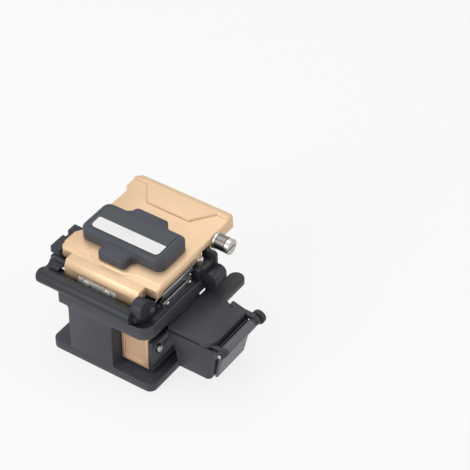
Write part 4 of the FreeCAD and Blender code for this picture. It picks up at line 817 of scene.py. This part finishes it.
# %% Flange foot
FOOT_SIZE, FOOT_EDGE = (4.7, 4.2, 4.2), 0.3
FOOT_LOW = (THIN_COVER[0][0] - 0.6, SHELL[1][1] + 2.7, SHELL[1][2] - 2.8)
FOOT_HIGH = tuple(low + size for low, size in zip(FOOT_LOW, FOOT_SIZE))
FLANGE_SCREW = Head(radius=1.5, height=0.9, chamfer=0.25, socket=0.8, depth=0.5)
FLANGE_SCREW_PLACE = (FOOT_LOW[0] + 2.5, FOOT_LOW[1] + 1.8, FOOT_HIGH[2] - 0.1)

foot = block("flange", FOOT_LOW, FOOT_HIGH)
round_edges(foot, FOOT_EDGE)
shown("bin_flange_foot", smoothed(applied(foot)), "base", "bin_plastic")
screw_heads("bin_flange_head", "base", "nickel", UP, [FLANGE_SCREW_PLACE], FLANGE_SCREW)

# %% [markdown]
# ## The other nodes keep their CAD shape
# Small trim whose shape is already right only needs its finish. Assigning to the object's material slots
# leaves the mesh as it is.

# %% Finishes for the rest
for name, node in frame["nodes"].items():
    node.data.materials.clear()
    node.data.materials.append(FINISHES[OTHER_FINISH.get(name, SLOT_OF[name])])
print("nodes with their finish:", len(frame["nodes"]))

# %% [markdown]
# ## Floor and background
# The object stands on plain white. A floor lit by lamps alone would turn grey, so where the camera looks
# straight at it, or sees it mirrored, most of it is a plain white glow, and a fifth of it stays an ordinary
# surface that keeps the soft shadow. The Light Path node tells these rays from the light's own.

# %% Floor
STUDIO_LIGHT, PAPER_WHITE, SHADOW_KEPT = 0.45, 1.0, 0.2
FLOOR_REACH, FLOOR_DROP = 3, 0.0002


def seen_directly(graph):
    """One where the camera sees a surface, straight or mirrored, and zero for the light's own rays."""
    total = 0.0
    for kind in ("Camera", "Glossy", "Transmission"):
        total = total + graph.node("ShaderNodeLightPath", output=f"Is {kind} Ray")
    return total.limited(0.0, 1.0)


paper = Finish("floor")
paper.set(base_color=(0.9, 0.9, 0.9, 1), roughness=0.9)
glow = paper.node("ShaderNodeEmission")
glow_share = seen_directly(paper) * (1 - SHADOW_KEPT)
plain = Wire(paper, paper.shader.outputs[0])
seen = paper.node("ShaderNodeMixShader", {}, {"Fac": glow_share, 1: plain, 2: glow})
paper.fill(paper.output.inputs["Surface"], seen)
floor_mesh = bpy.data.meshes.new("floor")
floor_corners = [(x * FLOOR_REACH, y * FLOOR_REACH, 0) for x, y in ((-1, -1), (1, -1), (1, 1), (-1, 1))]
floor_mesh.from_pydata(floor_corners, [], [(0, 1, 2, 3)])
floor_mesh.materials.append(paper.material)
floor = bpy.data.objects.new("floor", floor_mesh)
floor.location.z = -FLOOR_DROP
bpy.context.scene.collection.objects.link(floor)
print("floor laid", FLOOR_DROP / MM, "mm under the object")

# %% [markdown]
# ## Light
# The world is paper white where the camera sees it and dimmer as a light, which lights everything softly
# from all round. Three area lamps shape it: a large one overhead, one low in front, and a smaller one at the
# back right. The lamps are part of the stage, not of the object.

# %% Lamps
world = bpy.data.worlds.new("studio")
bpy.context.scene.world = world
world.use_nodes = True
sky = Graph(world.node_tree)
background = world.node_tree.nodes["Background"]
sky.fill(background.inputs["Color"], (1, 1, 1, 1))
sky.fill(background.inputs["Strength"], seen_directly(sky) * (PAPER_WHITE - STUDIO_LIGHT) + STUDIO_LIGHT)
AIM = (0, 0, 0.03)


def softbox(name, place, size, power):
    """Square area lamp that looks at the object; place and size in metres, power in watts."""
    lamp = bpy.data.lights.new(name, "AREA")
    lamp.size = size
    lamp.energy = power
    holder = bpy.data.objects.new(name, lamp)
    holder.location = place
    direction = Vector(AIM) - Vector(place)
    holder.rotation_euler = direction.to_track_quat("-Z", "Y").to_euler()
    bpy.context.scene.collection.objects.link(holder)


softbox("overhead", (-0.25, 0.10, 0.75), size=0.6, power=1.5)
softbox("fill", (-0.2, -0.75, 0.38), size=0.5, power=3.1)
softbox("edge", (0.55, 0.35, 0.4), size=0.4, power=0.8)

# %% [markdown] ## Done
# The dressed object has to stay inside the box of its solids.
